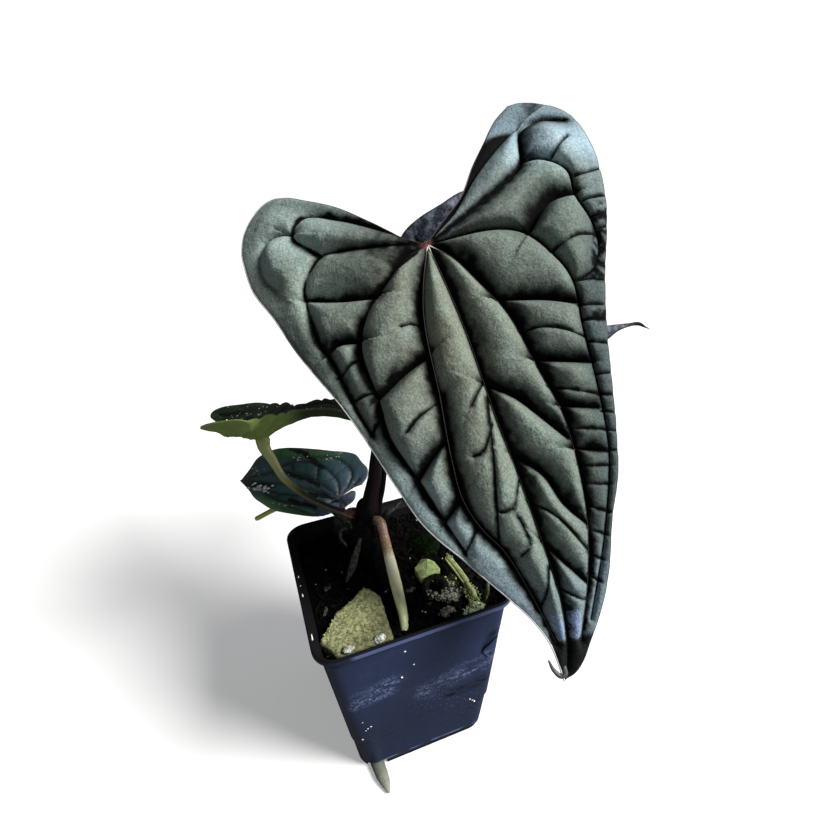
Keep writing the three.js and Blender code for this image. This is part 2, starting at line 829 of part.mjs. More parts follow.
const root = new THREE.Group();
root.name = "potted_anthurium_hybrid";

function add(name, geometry, [color, roughness], matrix) {
  const mesh = new THREE.Mesh(geometry, new THREE.MeshStandardMaterial({ color, roughness, metalness: 0 }));
  mesh.name = name;
  if (matrix) mesh.applyMatrix4(matrix);
  root.add(mesh);
  return mesh;
}

// Pieces that lie on the mix, made first because the mix is hollowed under them
const grainLeft = lump({ size: [4.6, 3, 2.8], at: [-31, -39.2, 97.2], seed: 5, detail: 0 });
const grainFront = lump({ size: [5, 3.4, 3], at: [-16.9, -38.8, 97], seed: 6, detail: 0 });
const chunkBlock = slab(
  [
    [-37, -38.7], [-32.5, -40], [-24, -40], [-14.6, -39.7], [-11, -28], [-10.4, -16],
    [-16.5, -8.6], [-24, -13], [-30, -16], [-36.6, -20], [-40.2, -28],
  ],
  90.5, 96.6, 1.6,
);
const paleChunk = cut(chunkBlock, grown(grainLeft), grown(grainFront));
const greenChunk = lump({ size: [13, 12, 8.6], at: [14.8, -7.6, 95], turn: 0.2, seed: 3 });
const ringOf = (tube) =>
  new THREE.TorusGeometry(4.6, tube, 6, 12)
    .rotateX(0.25)
    .rotateY(-0.2)
    .translate(14.6, -20.6, 95.6);
const barkRing = ringOf(1.6);
const STUB = [[26.2, -7, 97.8], [27.6, -18.7, 98], [28.2, -27.8, 97.6], [28.6, -34, 96.8]];
const stemStub = stalk(STUB, [1.4, 1.7, 2.3, 2.8], 7, 6);
const clump = lump({ size: [11, 9, 5], at: [21.2, -27.4, 92.6], turn: 0.1, seed: 12 });
const crust = lump({ size: [11, 4.8, 3.4], at: [26.4, -36.6, 92.6], turn: 0.1, seed: 8 });
const pebble = lump({ size: [9, 5, 4], at: [15, -33.6, 92.2], turn: 0.2, seed: 15 });
const moss = lump({ size: [17, 19, 7], at: [19.5, 9, 93.6], turn: 0.4, seed: 9 });
const SHOOT = [[33, -33.8, 91.6], [34.4, -34, 97], [35.2, -32.6, 101], [34.6, -31, 104]];
const shoot = stalk(SHOOT, [0.8, 0.9, 0.45], 5, 5);

const leafPetiole = (route, leaf, drop, ...rest) => stalk(toBlade(route, leaf, drop), ...rest);
const stemGeometry = stalk(STEM, [5, 6.2, 8, 8.6, 8.4, 6], 12, 14, 0.9);
const mainPetiole = leafPetiole(MAIN_PETIOLE, MAIN_LEAF, 1.8, [3.6, 2.5, 2.3, 2.1, 2, 1.9, 2.1], 10, 26);
const backPetiole = leafPetiole(BACK_PETIOLE, BACK_LEAF, 1.5, [1.5, 1.4, 1.3, 1.2, 1.2], 8, 22);
const leftPetiole = leafPetiole(LEFT_PETIOLE, LEFT_LEAF, 1.3, [2.1, 1.7, 1.7, 1.8, 1.9, 2.1], 8, 22);
const smallPetiole = leafPetiole(SMALL_PETIOLE, SMALL_LEAF, 1.4, [1.4, 1.2, 1.1], 7, 10);
const aerialRoot = stalk(AERIAL_ROOT, [2.4, 2.3, 2.4, 2.7, 2.7, 2.3, 1.8, 1.2], 9, 18);
const sideRoot = stalk(SIDE_ROOT, [1.3, 1.4, 1.4, 1.3, 0.5], 7, 14);
const drainRoot = stalk(DRAIN_ROOT, [1.9, 1.9, 1.8, 1.6, 0.9], 9, 12, 1.65);

// The same stalk, wider and longer by the running gap, as the tool for its hole
const socket = (route, radii, sides, steps, squash) =>
  stalk(route, radii.map((radius) => radius + GAP), sides, steps, squash);

// Drawn back a little from the start of a route, so a socket is deeper than its stalk
const deepened = (route) => {
  const back = vec(route[0]).sub(vec(route[1])).setLength(0.6);
  return [vec(route[0]).add(back).toArray(), ...route.slice(1, 4)];
};

add("pot", potShell(), FINISH.pot);

const mix = cut(
  mixBody(),
  socket([[-7, 14, 61], ...STEM.slice(1)], [5, 6.2, 8, 8.6, 8.4, 6], 12, 14, 0.9),
  socket([[-26.3, -29.6, 2.1], ...DRAIN_ROOT.slice(1)], [2, 2, 1.9, 1.7, 1], 9, 12, 1.65),
  socket([...AERIAL_ROOT.slice(3, 7), [-6.1, -37.8, 82.4]], [2.7, 2.7, 2.3, 1.9, 1.7], 9, 12),
  grown(chunkBlock),
  grown(greenChunk),
  ringOf(1.6 + GAP + 0.1),
  socket(STUB, [1.4, 1.7, 2.3, 2.8], 7, 6),
  grown(clump),
  grown(crust),
  grown(pebble),
  grown(moss),
  socket([[32.8, -33.8, 90.8], ...SHOOT.slice(1)], [0.9, 0.95, 0.5], 5, 5),
);
add("mix", mix, FINISH.mix);

const stem = cut(
  stemGeometry,
  socket(deepened(MAIN_PETIOLE), [3.6, 3, 2.5, 2.4], 10, 12),
  socket(deepened(BACK_PETIOLE), [1.5, 1.5, 1.4, 1.4], 8, 12),
  socket(deepened(LEFT_PETIOLE), [2.1, 2, 1.8, 1.8], 8, 12),
  socket(deepened(SMALL_PETIOLE), [1.4, 1.4, 1.3, 1.3], 7, 10),
  socket(deepened(AERIAL_ROOT), [2.4, 2.4, 2.4, 2.5], 9, 12),
  socket(deepened(SIDE_ROOT), [1.3, 1.4, 1.4, 1.4], 7, 10),
);
add("stem", stem, FINISH.stem);

add("petiole_main", mainPetiole, FINISH.darkPetiole);
const mainBlade = blade({
  sinusLeft: MAIN_SINUS_LEFT,
  marginLeft: MAIN_MARGIN_LEFT,
  marginRight: MAIN_MARGIN_RIGHT,
  sinusRight: MAIN_SINUS_RIGHT,
  rows: 22,
  columns: 76,
  height: mainHeight,
  thickness: BLADE,
});
add("leaf_main", join(mainBlade, tipHook()), FINISH.velvet, bladeFrame(MAIN_LEAF));

add("petiole_back", backPetiole, FINISH.darkPetiole);
const backBlade = plainBlade(BACK_LEAF, {
  outline: [BACK_SINUS_LEFT, BACK_MARGIN_LEFT, BACK_MARGIN_RIGHT, BACK_SINUS_RIGHT],
  tail: { left: BACK_TAIL_LEFT, right: BACK_TAIL_RIGHT, across: 4, rungs: 9 },
  left: 50,
  right: 56,
  fold: 0.05,
  arch: 8,
  lobeRise: -6,
  rows: 7,
  columns: 44,
});
add("leaf_back", backBlade, FINISH.backBlade, bladeFrame(BACK_LEAF));

add("petiole_left", leftPetiole, FINISH.greenPetiole);
const leftBlade = plainBlade(LEFT_LEAF, {
  outline: [LEFT_SINUS_LEFT, LEFT_MARGIN_LEFT, LEFT_MARGIN_RIGHT, LEFT_SINUS_RIGHT],
  left: 20,
  right: 22,
  fold: 0.6,
  arch: 10.5,
  lobeRise: 4,
  rows: 7,
  columns: 36,
});
add("leaf_left", leftBlade, FINISH.leftBlade, bladeFrame(LEFT_LEAF));

add("petiole_small", smallPetiole, FINISH.darkPetiole);
const smallBlade = plainBlade(SMALL_LEAF, {
  outline: [SMALL_SINUS_LEFT, SMALL_MARGIN_LEFT, SMALL_MARGIN_RIGHT, SMALL_SINUS_RIGHT],
  left: 24,
  right: 20,
  lobes: 0.5,
  fold: 0.32,
  arch: 2.5,
  lobeRise: 2,
  rows: 7,
  columns: 36,
});
add("leaf_small", smallBlade, FINISH.smallBlade, bladeFrame(SMALL_LEAF));

add("aerial_root", aerialRoot, FINISH.youngRoot);
add("side_root", sideRoot, FINISH.sideRoot);
add("drain_root", drainRoot, FINISH.drainRoot);

add("cataphyll_front", scale(CATAPHYLL_FRONT, [0.8, 2.4, 2.6, 0.6]), FINISH.dryScale);
add("cataphyll_left", scale(CATAPHYLL_LEFT, [0.7, 1.1, 1, 0.5]), FINISH.dryScale);
add("cataphyll_right", scale(CATAPHYLL_RIGHT, [1, 1.9, 1.2, 0.4]), FINISH.dryScale);

add("chunk_pale", paleChunk, FINISH.paleChunk);
add("chunk_green", greenChunk, FINISH.greenChunk);
add("bark_ring", barkRing, FINISH.bark);
add("stem_stub", stemStub, FINISH.stub);
add("clump_grey", clump, FINISH.clump);
add("crust_pale", crust, FINISH.crust);
add("pebble_grey", pebble, FINISH.bark);
add("grain_left", grainLeft, FINISH.grain);
add("grain_front", grainFront, FINISH.grain);
add("moss", moss, FINISH.moss);
add("shoot_green", shoot, FINISH.greenPetiole);

export default root;
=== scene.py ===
"""A potted anthurium hybrid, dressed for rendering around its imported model.

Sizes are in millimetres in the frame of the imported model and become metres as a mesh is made.
A blade is drawn in its own plane: u runs from the petiole joint to the tip, v to the right.
"""

import logging
import math
from dataclasses import dataclass, field
from enum import Enum
from typing import Callable, Iterable, Sequence

import bpy
import numpy as np
from mathutils import Matrix, Vector
from mathutils.bvhtree import BVHTree
from mathutils.geometry import delaunay_2d_cdt


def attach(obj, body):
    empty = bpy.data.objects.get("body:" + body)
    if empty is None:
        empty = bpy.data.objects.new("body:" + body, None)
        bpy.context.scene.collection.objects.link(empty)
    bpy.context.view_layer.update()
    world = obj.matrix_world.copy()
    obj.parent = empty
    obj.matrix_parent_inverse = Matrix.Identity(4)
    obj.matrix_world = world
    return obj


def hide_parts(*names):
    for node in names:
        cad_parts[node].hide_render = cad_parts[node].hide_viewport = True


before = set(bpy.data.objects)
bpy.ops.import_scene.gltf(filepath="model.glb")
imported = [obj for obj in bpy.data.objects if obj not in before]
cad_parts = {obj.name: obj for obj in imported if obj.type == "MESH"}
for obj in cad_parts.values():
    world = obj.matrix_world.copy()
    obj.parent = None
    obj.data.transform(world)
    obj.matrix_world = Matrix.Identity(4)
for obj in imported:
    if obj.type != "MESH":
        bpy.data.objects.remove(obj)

LOG = logging.getLogger("potted_anthurium")
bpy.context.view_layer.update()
MM = 0.001

Path = Sequence[Sequence[float]]
Colour = tuple[float, float, float]


class Slot(Enum):
    """The record's material slots."""

    POT = "pot_plastic"
    MIX = "bark_mix"
    STEM = "stem_skin"
    DARK_PETIOLE = "dark_petiole"
    GREEN_PETIOLE = "green_petiole"
    VELVET = "velvet_leaf"
    SLATE = "slate_leaf"
    GREEN_LEAF = "green_leaf"
    TEAL = "teal_leaf"
    ROOT = "root_skin"
    SCALE = "dry_scale"
    PALE_CHUNK = "pale_chunk"
    GREEN_CHUNK = "green_chunk"
    BARK = "bark"
    STUB = "cut_stem"
    CLUMP = "grey_clump"
    CRUST = "pale_crust"
    GRAIN = "white_grain"
    MOSS = "moss"


def tone(red: float, green: float, blue: float) -> Colour:
    """The linear colour of a screen colour, whose parts go from 0 to 255."""
    return tuple(((c / 255 + 0.055) / 1.055) ** 2.4 for c in (red, green, blue))


# Lines and surfaces


def smooth(route: Path, count: int) -> np.ndarray:
    """Samples a smooth centripetal line through points, evenly along its length.

    Args:
        route: Points that the line goes through.
        count: How many steps the line is cut into.

    Returns:
        The points, one more than the steps.
    """
    knots = np.array(route, float)
    knots = np.vstack([2 * knots[0] - knots[1], knots, 2 * knots[-1] - knots[-2]])
    t = np.linspace(0, 1, 24, endpoint=False)[:, None]
    parts = []
    for a, b, c, d in zip(knots, knots[1:], knots[2:], knots[3:]):
        ab, bc, cd = (np.linalg.norm(q - p) ** 0.5 for p, q in ((a, b), (b, c), (c, d)))
        leave = ((b - a) / ab - (c - a) / (ab + bc) + (c - b) / bc) * bc
        reach = ((c - b) / bc - (d - b) / (bc + cd) + (d - c) / cd) * bc
        bend = 3 * (c - b) - 2 * leave - reach
        parts.append(b + leave * t + bend * t**2 + (2 * (b - c) + leave + reach) * t**3)
    line = np.vstack([*parts, knots[-2:-1]])
    run = np.append(0, np.cumsum(np.linalg.norm(np.diff(line, axis=0), axis=1)))
    at = np.linspace(0, run[-1], count + 1)
    return np.stack([np.interp(at, run, line[:, k]) for k in range(line.shape[1])], 1)


def spaced(route: Path, gap: float) -> np.ndarray:
    """Samples a smooth line through points at about an even gap.

    Args:
        route: Points that the line goes through.
        gap: The distance between samples.

    Returns:
        The points along the line.
    """
    rough = smooth(route, 60)
    length = np.linalg.norm(np.diff(rough, axis=0), axis=1).sum()
    return smooth(route, max(2, round(length / gap)))


def unit(vectors: np.ndarray) -> np.ndarray:
    """Scales each vector to length one."""
    return vectors / np.maximum(np.linalg.norm(vectors, axis=-1, keepdims=True), 1e-12)


def frames_along(line: np.ndarray) -> tuple[np.ndarray, np.ndarray]:
    """Carries a pair of cross directions along a line without twist.

    Args:
        line: Points of the line.

    Returns:
        The normals and the binormals at each point.
    """
    tangents = unit(np.gradient(line, axis=0))
    axis = np.eye(3)[2 - int(np.argmin(np.abs(tangents[0][::-1])))]
    normals = [np.cross(tangents[0], unit(np.cross(tangents[0], axis)))]
    for before, after in zip(tangents, tangents[1:]):
        normal = normals[-1]
        turn = np.cross(before, after)
        sine = np.linalg.norm(turn)
        if sine > 1e-9:
            k = turn / sine
            cosine = float(before @ after)
            normal = normal * cosine + np.cross(k, normal) * sine + k * (k @ normal) * (1 - cosine)
        normals.append(normal)
    normals = unit(np.array(normals))
    return normals, unit(np.cross(tangents, normals))


def wobble(points: np.ndarray, scale: float, seed: int) -> np.ndarray:
    """A smooth seeded noise from about -1 to 1 at each point.

    Args:
        points: The points, in 2-D or 3-D.
        scale: The size of its bumps.
        seed: Which noise.

    Returns:
        One value per point.
    """
    draw = np.random.default_rng(seed)
    total = np.zeros(len(points))
    for octave, strength in ((1, 1.0), (2.1, 0.5), (4.3, 0.25)):
        waves = unit(draw.normal(size=(5, points.shape[1]))) * octave * 2.4 / scale
        total += strength * np.sin(points @ waves.T + draw.uniform(0, 6.3, 5)).sum(1) / 3.4
    return total / 1.3


def ease(value: np.ndarray, low: float, high: float) -> np.ndarray:
    """Goes smoothly from 0 at low to 1 at high."""
    t = np.clip((value - low) / (high - low), 0, 1)
    return t * t * (3 - 2 * t)


def ball(level: int) -> tuple[np.ndarray, np.ndarray]:
    """A unit ball of triangles.

    Args:
        level: How many times the 20 triangles are each split in four.

    Returns:
        The points and the triangles.
    """
    g = (1 + 5**0.5) / 2
    corners = [(-1, g, 0), (1, g, 0), (-1, -g, 0), (1, -g, 0), (0, -1, g), (0, 1, g)]
    corners += [(0, -1, -g), (0, 1, -g), (g, 0, -1), (g, 0, 1), (-g, 0, -1), (-g, 0, 1)]
    points = [unit(np.array(c, float)) for c in corners]
    text = "0 11 5,0 5 1,0 1 7,0 7 10,0 10 11,1 5 9,5 11 4,11 10 2,10 7 6,7 1 8"
    text += ",3 9 4,3 4 2,3 2 6,3 6 8,3 8 9,4 9 5,2 4 11,6 2 10,8 6 7,9 8 1"
    faces = [tuple(int(n) for n in face.split()) for face in text.split(",")]
    for _ in range(level):
        middle: dict[tuple[int, int], int] = {}
        finer = []
        for a, b, c in faces:
            mids = []
            for pair in ((a, b), (b, c), (c, a)):
                key = (min(pair), max(pair))
                if key not in middle:
                    middle[key] = len(points)
                    points.append(unit(points[pair[0]] + points[pair[1]]))
                mids.append(middle[key])
            ab, bc, ca = mids
            finer += [(a, ab, ca), (b, bc, ab), (c, ca, bc), (ab, bc, ca)]
        faces = finer
    return np.array(points), np.array(faces)


BALLS = [ball(level) for level in range(5)]


def skin(rings: Sequence[np.ndarray], ends: Path) -> tuple[np.ndarray, list[np.ndarray]]:
    """Closes rings of one size into a skin with a fan of triangles at each end.

    Args:
        rings: The rings in order.
        ends: The middles of the first and the last fan.

    Returns:
        The points, and the quads and triangles.
    """
    count, sides = len(rings), len(rings[0])
    index = np.arange(count * sides).reshape(count, sides)
    ahead = np.roll(index, -1, axis=1)
    quads = np.stack([index[:-1], ahead[:-1], ahead[1:], index[1:]], -1).reshape(-1, 4)
    first, last = count * sides, count * sides + 1
    fans = [(first, b, a) for a, b in zip(index[0], ahead[0])]
    fans += [(last, a, b) for a, b in zip(index[-1], ahead[-1])]
    return np.vstack([*rings, *ends]), [quads, np.array(fans)]


class Shape:
    """Points and faces in millimetres, with named values at the points, on the way to a mesh."""

    def __init__(self) -> None:
        """Starts empty."""
        self.points: list[np.ndarray] = []
        self.faces: list[tuple[np.ndarray, bool]] = []
        self.values: dict[str, list[np.ndarray]] = {}
        self.count = 0

    def add(
        self,
        points: np.ndarray,
        faces: Iterable[np.ndarray],
        flat: bool = False,
        **values: np.ndarray | float,
    ) -> "Shape":
        """Adds points and faces.

        Args:
            points: The new points.
            faces: Arrays of triangles or of quads, numbered within the new points.
            flat: Whether the faces keep their facets.
            **values: Values at the new points, by name.

        Returns:
            The shape itself.
        """
        for rows in faces:
            if len(rows):
                self.faces.append((np.asarray(rows) + self.count, flat))
        for name in set(values) | set(self.values):
            kept = self.values.setdefault(name, [np.zeros(self.count)] if self.count else [])
            kept.append(np.broadcast_to(np.asarray(values.get(name, 0.0), float), len(points)))
        self.points.append(np.asarray(points, float))
        self.count += len(points)
        return self

    def build(self, name: str) -> bpy.types.Object:
        """Makes the mesh object.

        Args:
            name: The piece's name.

        Returns:
            The object, in metres, linked to the scene.
        """
        mesh = bpy.data.meshes.new(name)
        mesh.vertices.add(self.count)
        mesh.vertices.foreach_set("co", (np.vstack(self.points) * MM).astype(np.float32).ravel())
        sizes = np.concatenate([np.full(len(rows), rows.shape[1]) for rows, _ in self.faces])
        flats = np.concatenate([np.full(len(rows), flat) for rows, flat in self.faces])
        mesh.loops.add(int(sizes.sum()))
        corners = np.concatenate([rows.ravel() for rows, _ in self.faces])
        mesh.loops.foreach_set("vertex_index", corners.astype(np.int32))
        mesh.polygons.add(len(sizes))
        starts = np.append(0, np.cumsum(sizes)[:-1]).astype(np.int32)
        mesh.polygons.foreach_set("loop_start", starts)
        mesh.polygons.foreach_set("use_smooth", ~flats)
        for key, parts in self.values.items():
            layer = mesh.attributes.new(key, "FLOAT", "POINT")
            layer.data.foreach_set("value", np.concatenate(parts).astype(np.float32))
        mesh.update(calc_edges=True)
        mesh.validate()
        piece = bpy.data.objects.new(name, mesh)
        bpy.context.scene.collection.objects.link(piece)
        return piece

    def tube(
        self,
        route: Path | np.ndarray,
        radii: Sequence[float],
        sides: int = 14,
        steps: int = 48,
        squash: float = 1.0,
        relief: Callable[[np.ndarray, np.ndarray], np.ndarray] | None = None,
        **values: float | np.ndarray,
    ) -> "Shape":
        """Adds a tapered stalk with rounded ends.

        Args:
            route: Points of its centre line.
            radii: Radii from start to end.
            sides: Corners round it.
            steps: Rings along it.
            squash: Its second width as a share of the first.
            relief: Gives a factor on the radius from the share along and the angle.
            **values: Values by name, each one for all of it or a row along it.

        Returns:
            The shape itself.
        """
        line = smooth(route, steps)
        normals, binormals = frames_along(line)
        share = np.linspace(0, 1, steps + 1)
        radius = np.interp(share, np.linspace(0, 1, len(radii)), radii)
        tangents = unit(np.gradient(line, axis=0))
        dome = np.array([1.2, 0.8, 0.4])
        rows = [(0, -math.sin(a), math.cos(a)) for a in dome]
        rows += [(k, 0.0, 1.0) for k in range(steps + 1)]
        rows += [(steps, math.sin(a), math.cos(a)) for a in dome[::-1]]
        angle = np.arange(sides) * 2 * math.pi / sides
        rings, along = [], []
        for k, out, shrink in rows:
            r = radius[k] * shrink * np.ones(sides)
            if relief is not None:
                r = r * relief(np.full(sides, share[k]), angle)
            centre = line[k] + tangents[k] * radius[k] * out * min(1.0, squash)
            across = normals[k] * np.cos(angle)[:, None] * r[:, None]
            rings.append(centre + across + binormals[k] * (np.sin(angle) * r * squash)[:, None])
            along.append(np.full(sides, share[k]))
        points, faces = skin(rings, [rings[0].mean(0), rings[-1].mean(0)])
        along = np.append(np.concatenate(along), [0, 1])
        around = np.append(np.tile(np.cos(angle), len(rings)), [0, 0])
        for name, value in values.items():
            row = np.atleast_1d(value)
            values[name] = np.interp(along, np.linspace(0, 1, len(row)), row)
        return self.add(points, faces, along=along, around=around, **values)

    def lump(
        self,
        size: Sequence[float],
        at: Sequence[float],
        seed: int,
        level: int = 1,
        rough: float = 0.2,
        grain: float = 0.5,
        turn: Sequence[float] = (0, 0, 0),
        flat: bool = False,
        **values: float,
    ) -> "Shape":
        """Adds a rough ball, stretched and set down.

        Args:
            size: Its three sizes.
            at: Its middle.
            seed: Which rough form.
            level: How fine it is.
            rough: How far its surface strays, as a share.
            grain: The size of its bumps as a share of a unit ball.
            turn: Its turns about x, y and z.
            flat: Whether it keeps its facets.
            **values: Values that hold for all of it.

        Returns:
            The shape itself.
        """
        points, faces = BALLS[level]
        stray = 1 + rough * wobble(points, grain, seed)
        a, b, c = turn
        spin = Matrix.Rotation(c, 3, "Z") @ Matrix.Rotation(b, 3, "Y") @ Matrix.Rotation(a, 3, "X")
        placed = (points * stray[:, None] * np.array(size) / 2) @ np.array(spin).T
        return self.add(placed + np.array(at), [faces], flat=flat, height=points[:, 2], **values)


# Materials


class Wire:
    """A socket of a node, with arithmetic that adds Math nodes."""

    def __init__(self, paint: "Paint", socket: bpy.types.NodeSocket) -> None:
        """Holds an output socket of a material."""
        self.paint = paint
        self.socket = socket

    def _math(self, operation: str, *terms: "Wire | float", clamp: bool = False) -> "Wire":
        """Adds one Math node over some terms."""
        settings = {"operation": operation, "use_clamp": clamp}
        return self.paint.node("ShaderNodeMath", settings, dict(enumerate(terms)))

    def __add__(self, other: "Wire | float") -> "Wire":
        """Adds a term."""
        return self._math("ADD", self, other)

    def __sub__(self, other: "Wire | float") -> "Wire":
        """Takes a term away."""
        return self._math("SUBTRACT", self, other)

    def __rsub__(self, other: float) -> "Wire":
        """Is taken away from a number."""
        return self._math("SUBTRACT", other, self)

    def __mul__(self, other: "Wire | float") -> "Wire":
        """Multiplies by a term."""
        return self._math("MULTIPLY", self, other)

    __radd__ = __add__
    __rmul__ = __mul__

    def most(self, other: "Wire | float") -> "Wire":
        """The larger of two terms."""
        return self._math("MAXIMUM", self, other)

    def held(self) -> "Wire":
        """The same value, held between 0 and 1."""
        return self._math("ADD", self, 0.0, clamp=True)

    def between(self, low: float, high: float) -> "Wire":
        """Goes smoothly from 0 to 1, or down where high is the lower.

        Args:
            low: Where it is 0.
            high: Where it is 1.

        Returns:
            The eased value.
        """
        if low > high:
            return 1 - self.between(high, low)
        sockets = {"Value": self, "From Min": low, "From Max": high}
        return self.paint.node("ShaderNodeMapRange", {"interpolation_type": "SMOOTHSTEP"}, sockets)


class Paint:
    """The node tree of one material, or of the surroundings."""

    def __init__(self, owner: bpy.types.Material | bpy.types.World) -> None:
        """Takes the tree and finds its shader.

        Args:
            owner: The new material or surroundings.
        """
        owner.use_nodes = True
        self.owner = owner
        self.tree = owner.node_tree
        kinds = ("BSDF_PRINCIPLED", "BACKGROUND")
        self.shader = next(n for n in self.tree.nodes if n.type in kinds)

    def node(
        self,
        kind: str,
        settings: dict[str, object] | None = None,
        sockets: dict[str | int, object] | None = None,
        output: str | int = 0,
    ) -> Wire:
        """Adds one node.

        Args:
            kind: The node's type.
            settings: Its properties, set first. "stops" are a ramp's places and colours.
            sockets: Values or wires for its inputs, by name or place.
            output: Which output comes back.

        Returns:
            The output as a wire.
        """
        made = self.tree.nodes.new(kind)
        for key, value in (settings or {}).items():
            if key == "stops":
                self._stops(made, value)
            else:
                setattr(made, key, value)
        for key, value in (sockets or {}).items():
            self.put(made.inputs[key], value)
        return Wire(self, made.outputs[output])

    @staticmethod
    def _stops(made: bpy.types.Node, stops: Sequence[tuple[float, Colour]]) -> None:
        """Sets the stops of a colour ramp.

        Args:
            made: The ramp's node.
            stops: Each stop's place and colour.
        """
        ramp = made.color_ramp.elements
        while len(ramp) < len(stops):
            ramp.new(0.5)
        for element, (place, colour) in zip(ramp, stops):
            element.position = place
            element.color = (*colour, 1)

    def put(self, socket: bpy.types.NodeSocket, value: object) -> None:
        """Links a wire to a socket, or sets the socket's own value.

        Args:
            socket: The input.
            value: A wire, a number, a vector or a colour.
        """
        if isinstance(value, Wire):
            self.tree.links.new(value.socket, socket)
        elif socket.type == "RGBA":
            socket.default_value = (*value, 1)
        else:
            socket.default_value = value

    def place(self) -> Wire:
        """The point on the object, in metres."""
        return self.node("ShaderNodeTexCoord", output="Object")

    def value(self, name: str) -> Wire:
        """A value kept at the mesh's points."""
        return self.node("ShaderNodeAttribute", {"attribute_name": name}, output="Fac")

    def noise(self, size: float, detail: float = 4, stretch: Sequence[float] = (1, 1, 1)) -> Wire:
        """A cloudy noise.

        Args:
            size: The size of its clouds in millimetres.
            detail: How many finer layers it has.
            stretch: How often it repeats along each axis, against the others.

        Returns:
            A value from 0 to 1.
        """
        settings = {"operation": "MULTIPLY"}
        where = self.node("ShaderNodeVectorMath", settings, {0: self.place(), 1: tuple(stretch)})
        sockets = {"Vector": where, "Scale": 1 / (size * MM), "Detail": detail, "Roughness": 0.6}
        return self.node("ShaderNodeTexNoise", None, sockets)

    def cells(self, size: float) -> Wire:
        """Distance from the middles of cells of about a size in millimetres, as a share of it."""
        sockets = {"Vector": self.place(), "Scale": 1 / (size * MM)}
        return self.node("ShaderNodeTexVoronoi", None, sockets, "Distance")

    def streak(self, start: Sequence[float], end: Sequence[float]) -> Wire:
        """Distance in millimetres from a straight line between two points.

        Args:
            start: The first point.
            end: The other point.

        Returns:
            The distance.
        """
        a, b = (Vector(p) * MM for p in (start, end))
        vector = "ShaderNodeVectorMath"
        away = self.node(vector, {"operation": "SUBTRACT"}, {0: self.place(), 1: tuple(a)})
        run = tuple((b - a) / (b - a).length_squared)
        share = self.node(vector, {"operation": "DOT_PRODUCT"}, {0: away, 1: run}, "Value").held()
        reach = self.node(vector, {"operation": "SCALE"}, {0: tuple(b - a), "Scale": share})
        rest = self.node(vector, {"operation": "SUBTRACT"}, {0: away, 1: reach})
        return self.node(vector, {"operation": "LENGTH"}, {0: rest}, "Value") * (1 / MM)

    def mix(self, share: Wire | float, first: Wire | Colour, second: Wire | Colour) -> Wire:
        """Goes from the first colour to the second by a share."""
        settings = {"data_type": "RGBA"}
        return self.node("ShaderNodeMix", settings, {0: share, 6: first, 7: second}, 2)

    def shade(self, colour: Wire | Colour, factor: Wire | float) -> Wire:
        """A colour times a factor."""
        settings = {"operation": "SCALE"}
        return self.node("ShaderNodeVectorMath", settings, {0: colour, "Scale": factor})

    def ramp(self, value: Wire, stops: Sequence[tuple[float, Colour]]) -> Wire:
        """Colours along a value from 0 to 1."""
        return self.node("ShaderNodeValToRGB", {"stops": stops}, {"Fac": value}, "Color")

    def bump(self, height: Wire, depth: float, under: Wire | None = None) -> Wire:
        """Bends the surface by a height.

        Args:
            height: A value from 0 to 1.
            depth: What 1 stands for, in millimetres.
            under: A coarser bump that this one lies on.

        Returns:
            The bent normal.
        """
        sockets = {"Height": height, "Distance": depth * MM, "Strength": 1.0}
        if under is not None:
            sockets["Normal"] = under
        return self.node("ShaderNodeBump", None, sockets)

    def surface(self, **sockets: object) -> bpy.types.Material | bpy.types.World:
        """Sets the shader and hands over what it belongs to.

        Args:
            **sockets: Values or wires by the socket's name, with _ for a space.

        Returns:
            The finished material or surroundings.
        """
        for key, value in sockets.items():
            self.put(self.shader.inputs[key.replace("_", " ")], value)
        return self.owner


@dataclass(frozen=True)
class Finish:
    """What the finishes have in common."""

    name: str

    def material(self) -> bpy.types.Material:
        """Makes the material once and hands it out after that.

        Returns:
            The material.
        """
        title = f"{self.name}_finish"
        made = bpy.data.materials.get(title)
        return made or self.paint(Paint(bpy.data.materials.new(title)))

    def paint(self, p: Paint) -> bpy.types.Material:
        """Lays the finish on a new material."""
        raise NotImplementedError


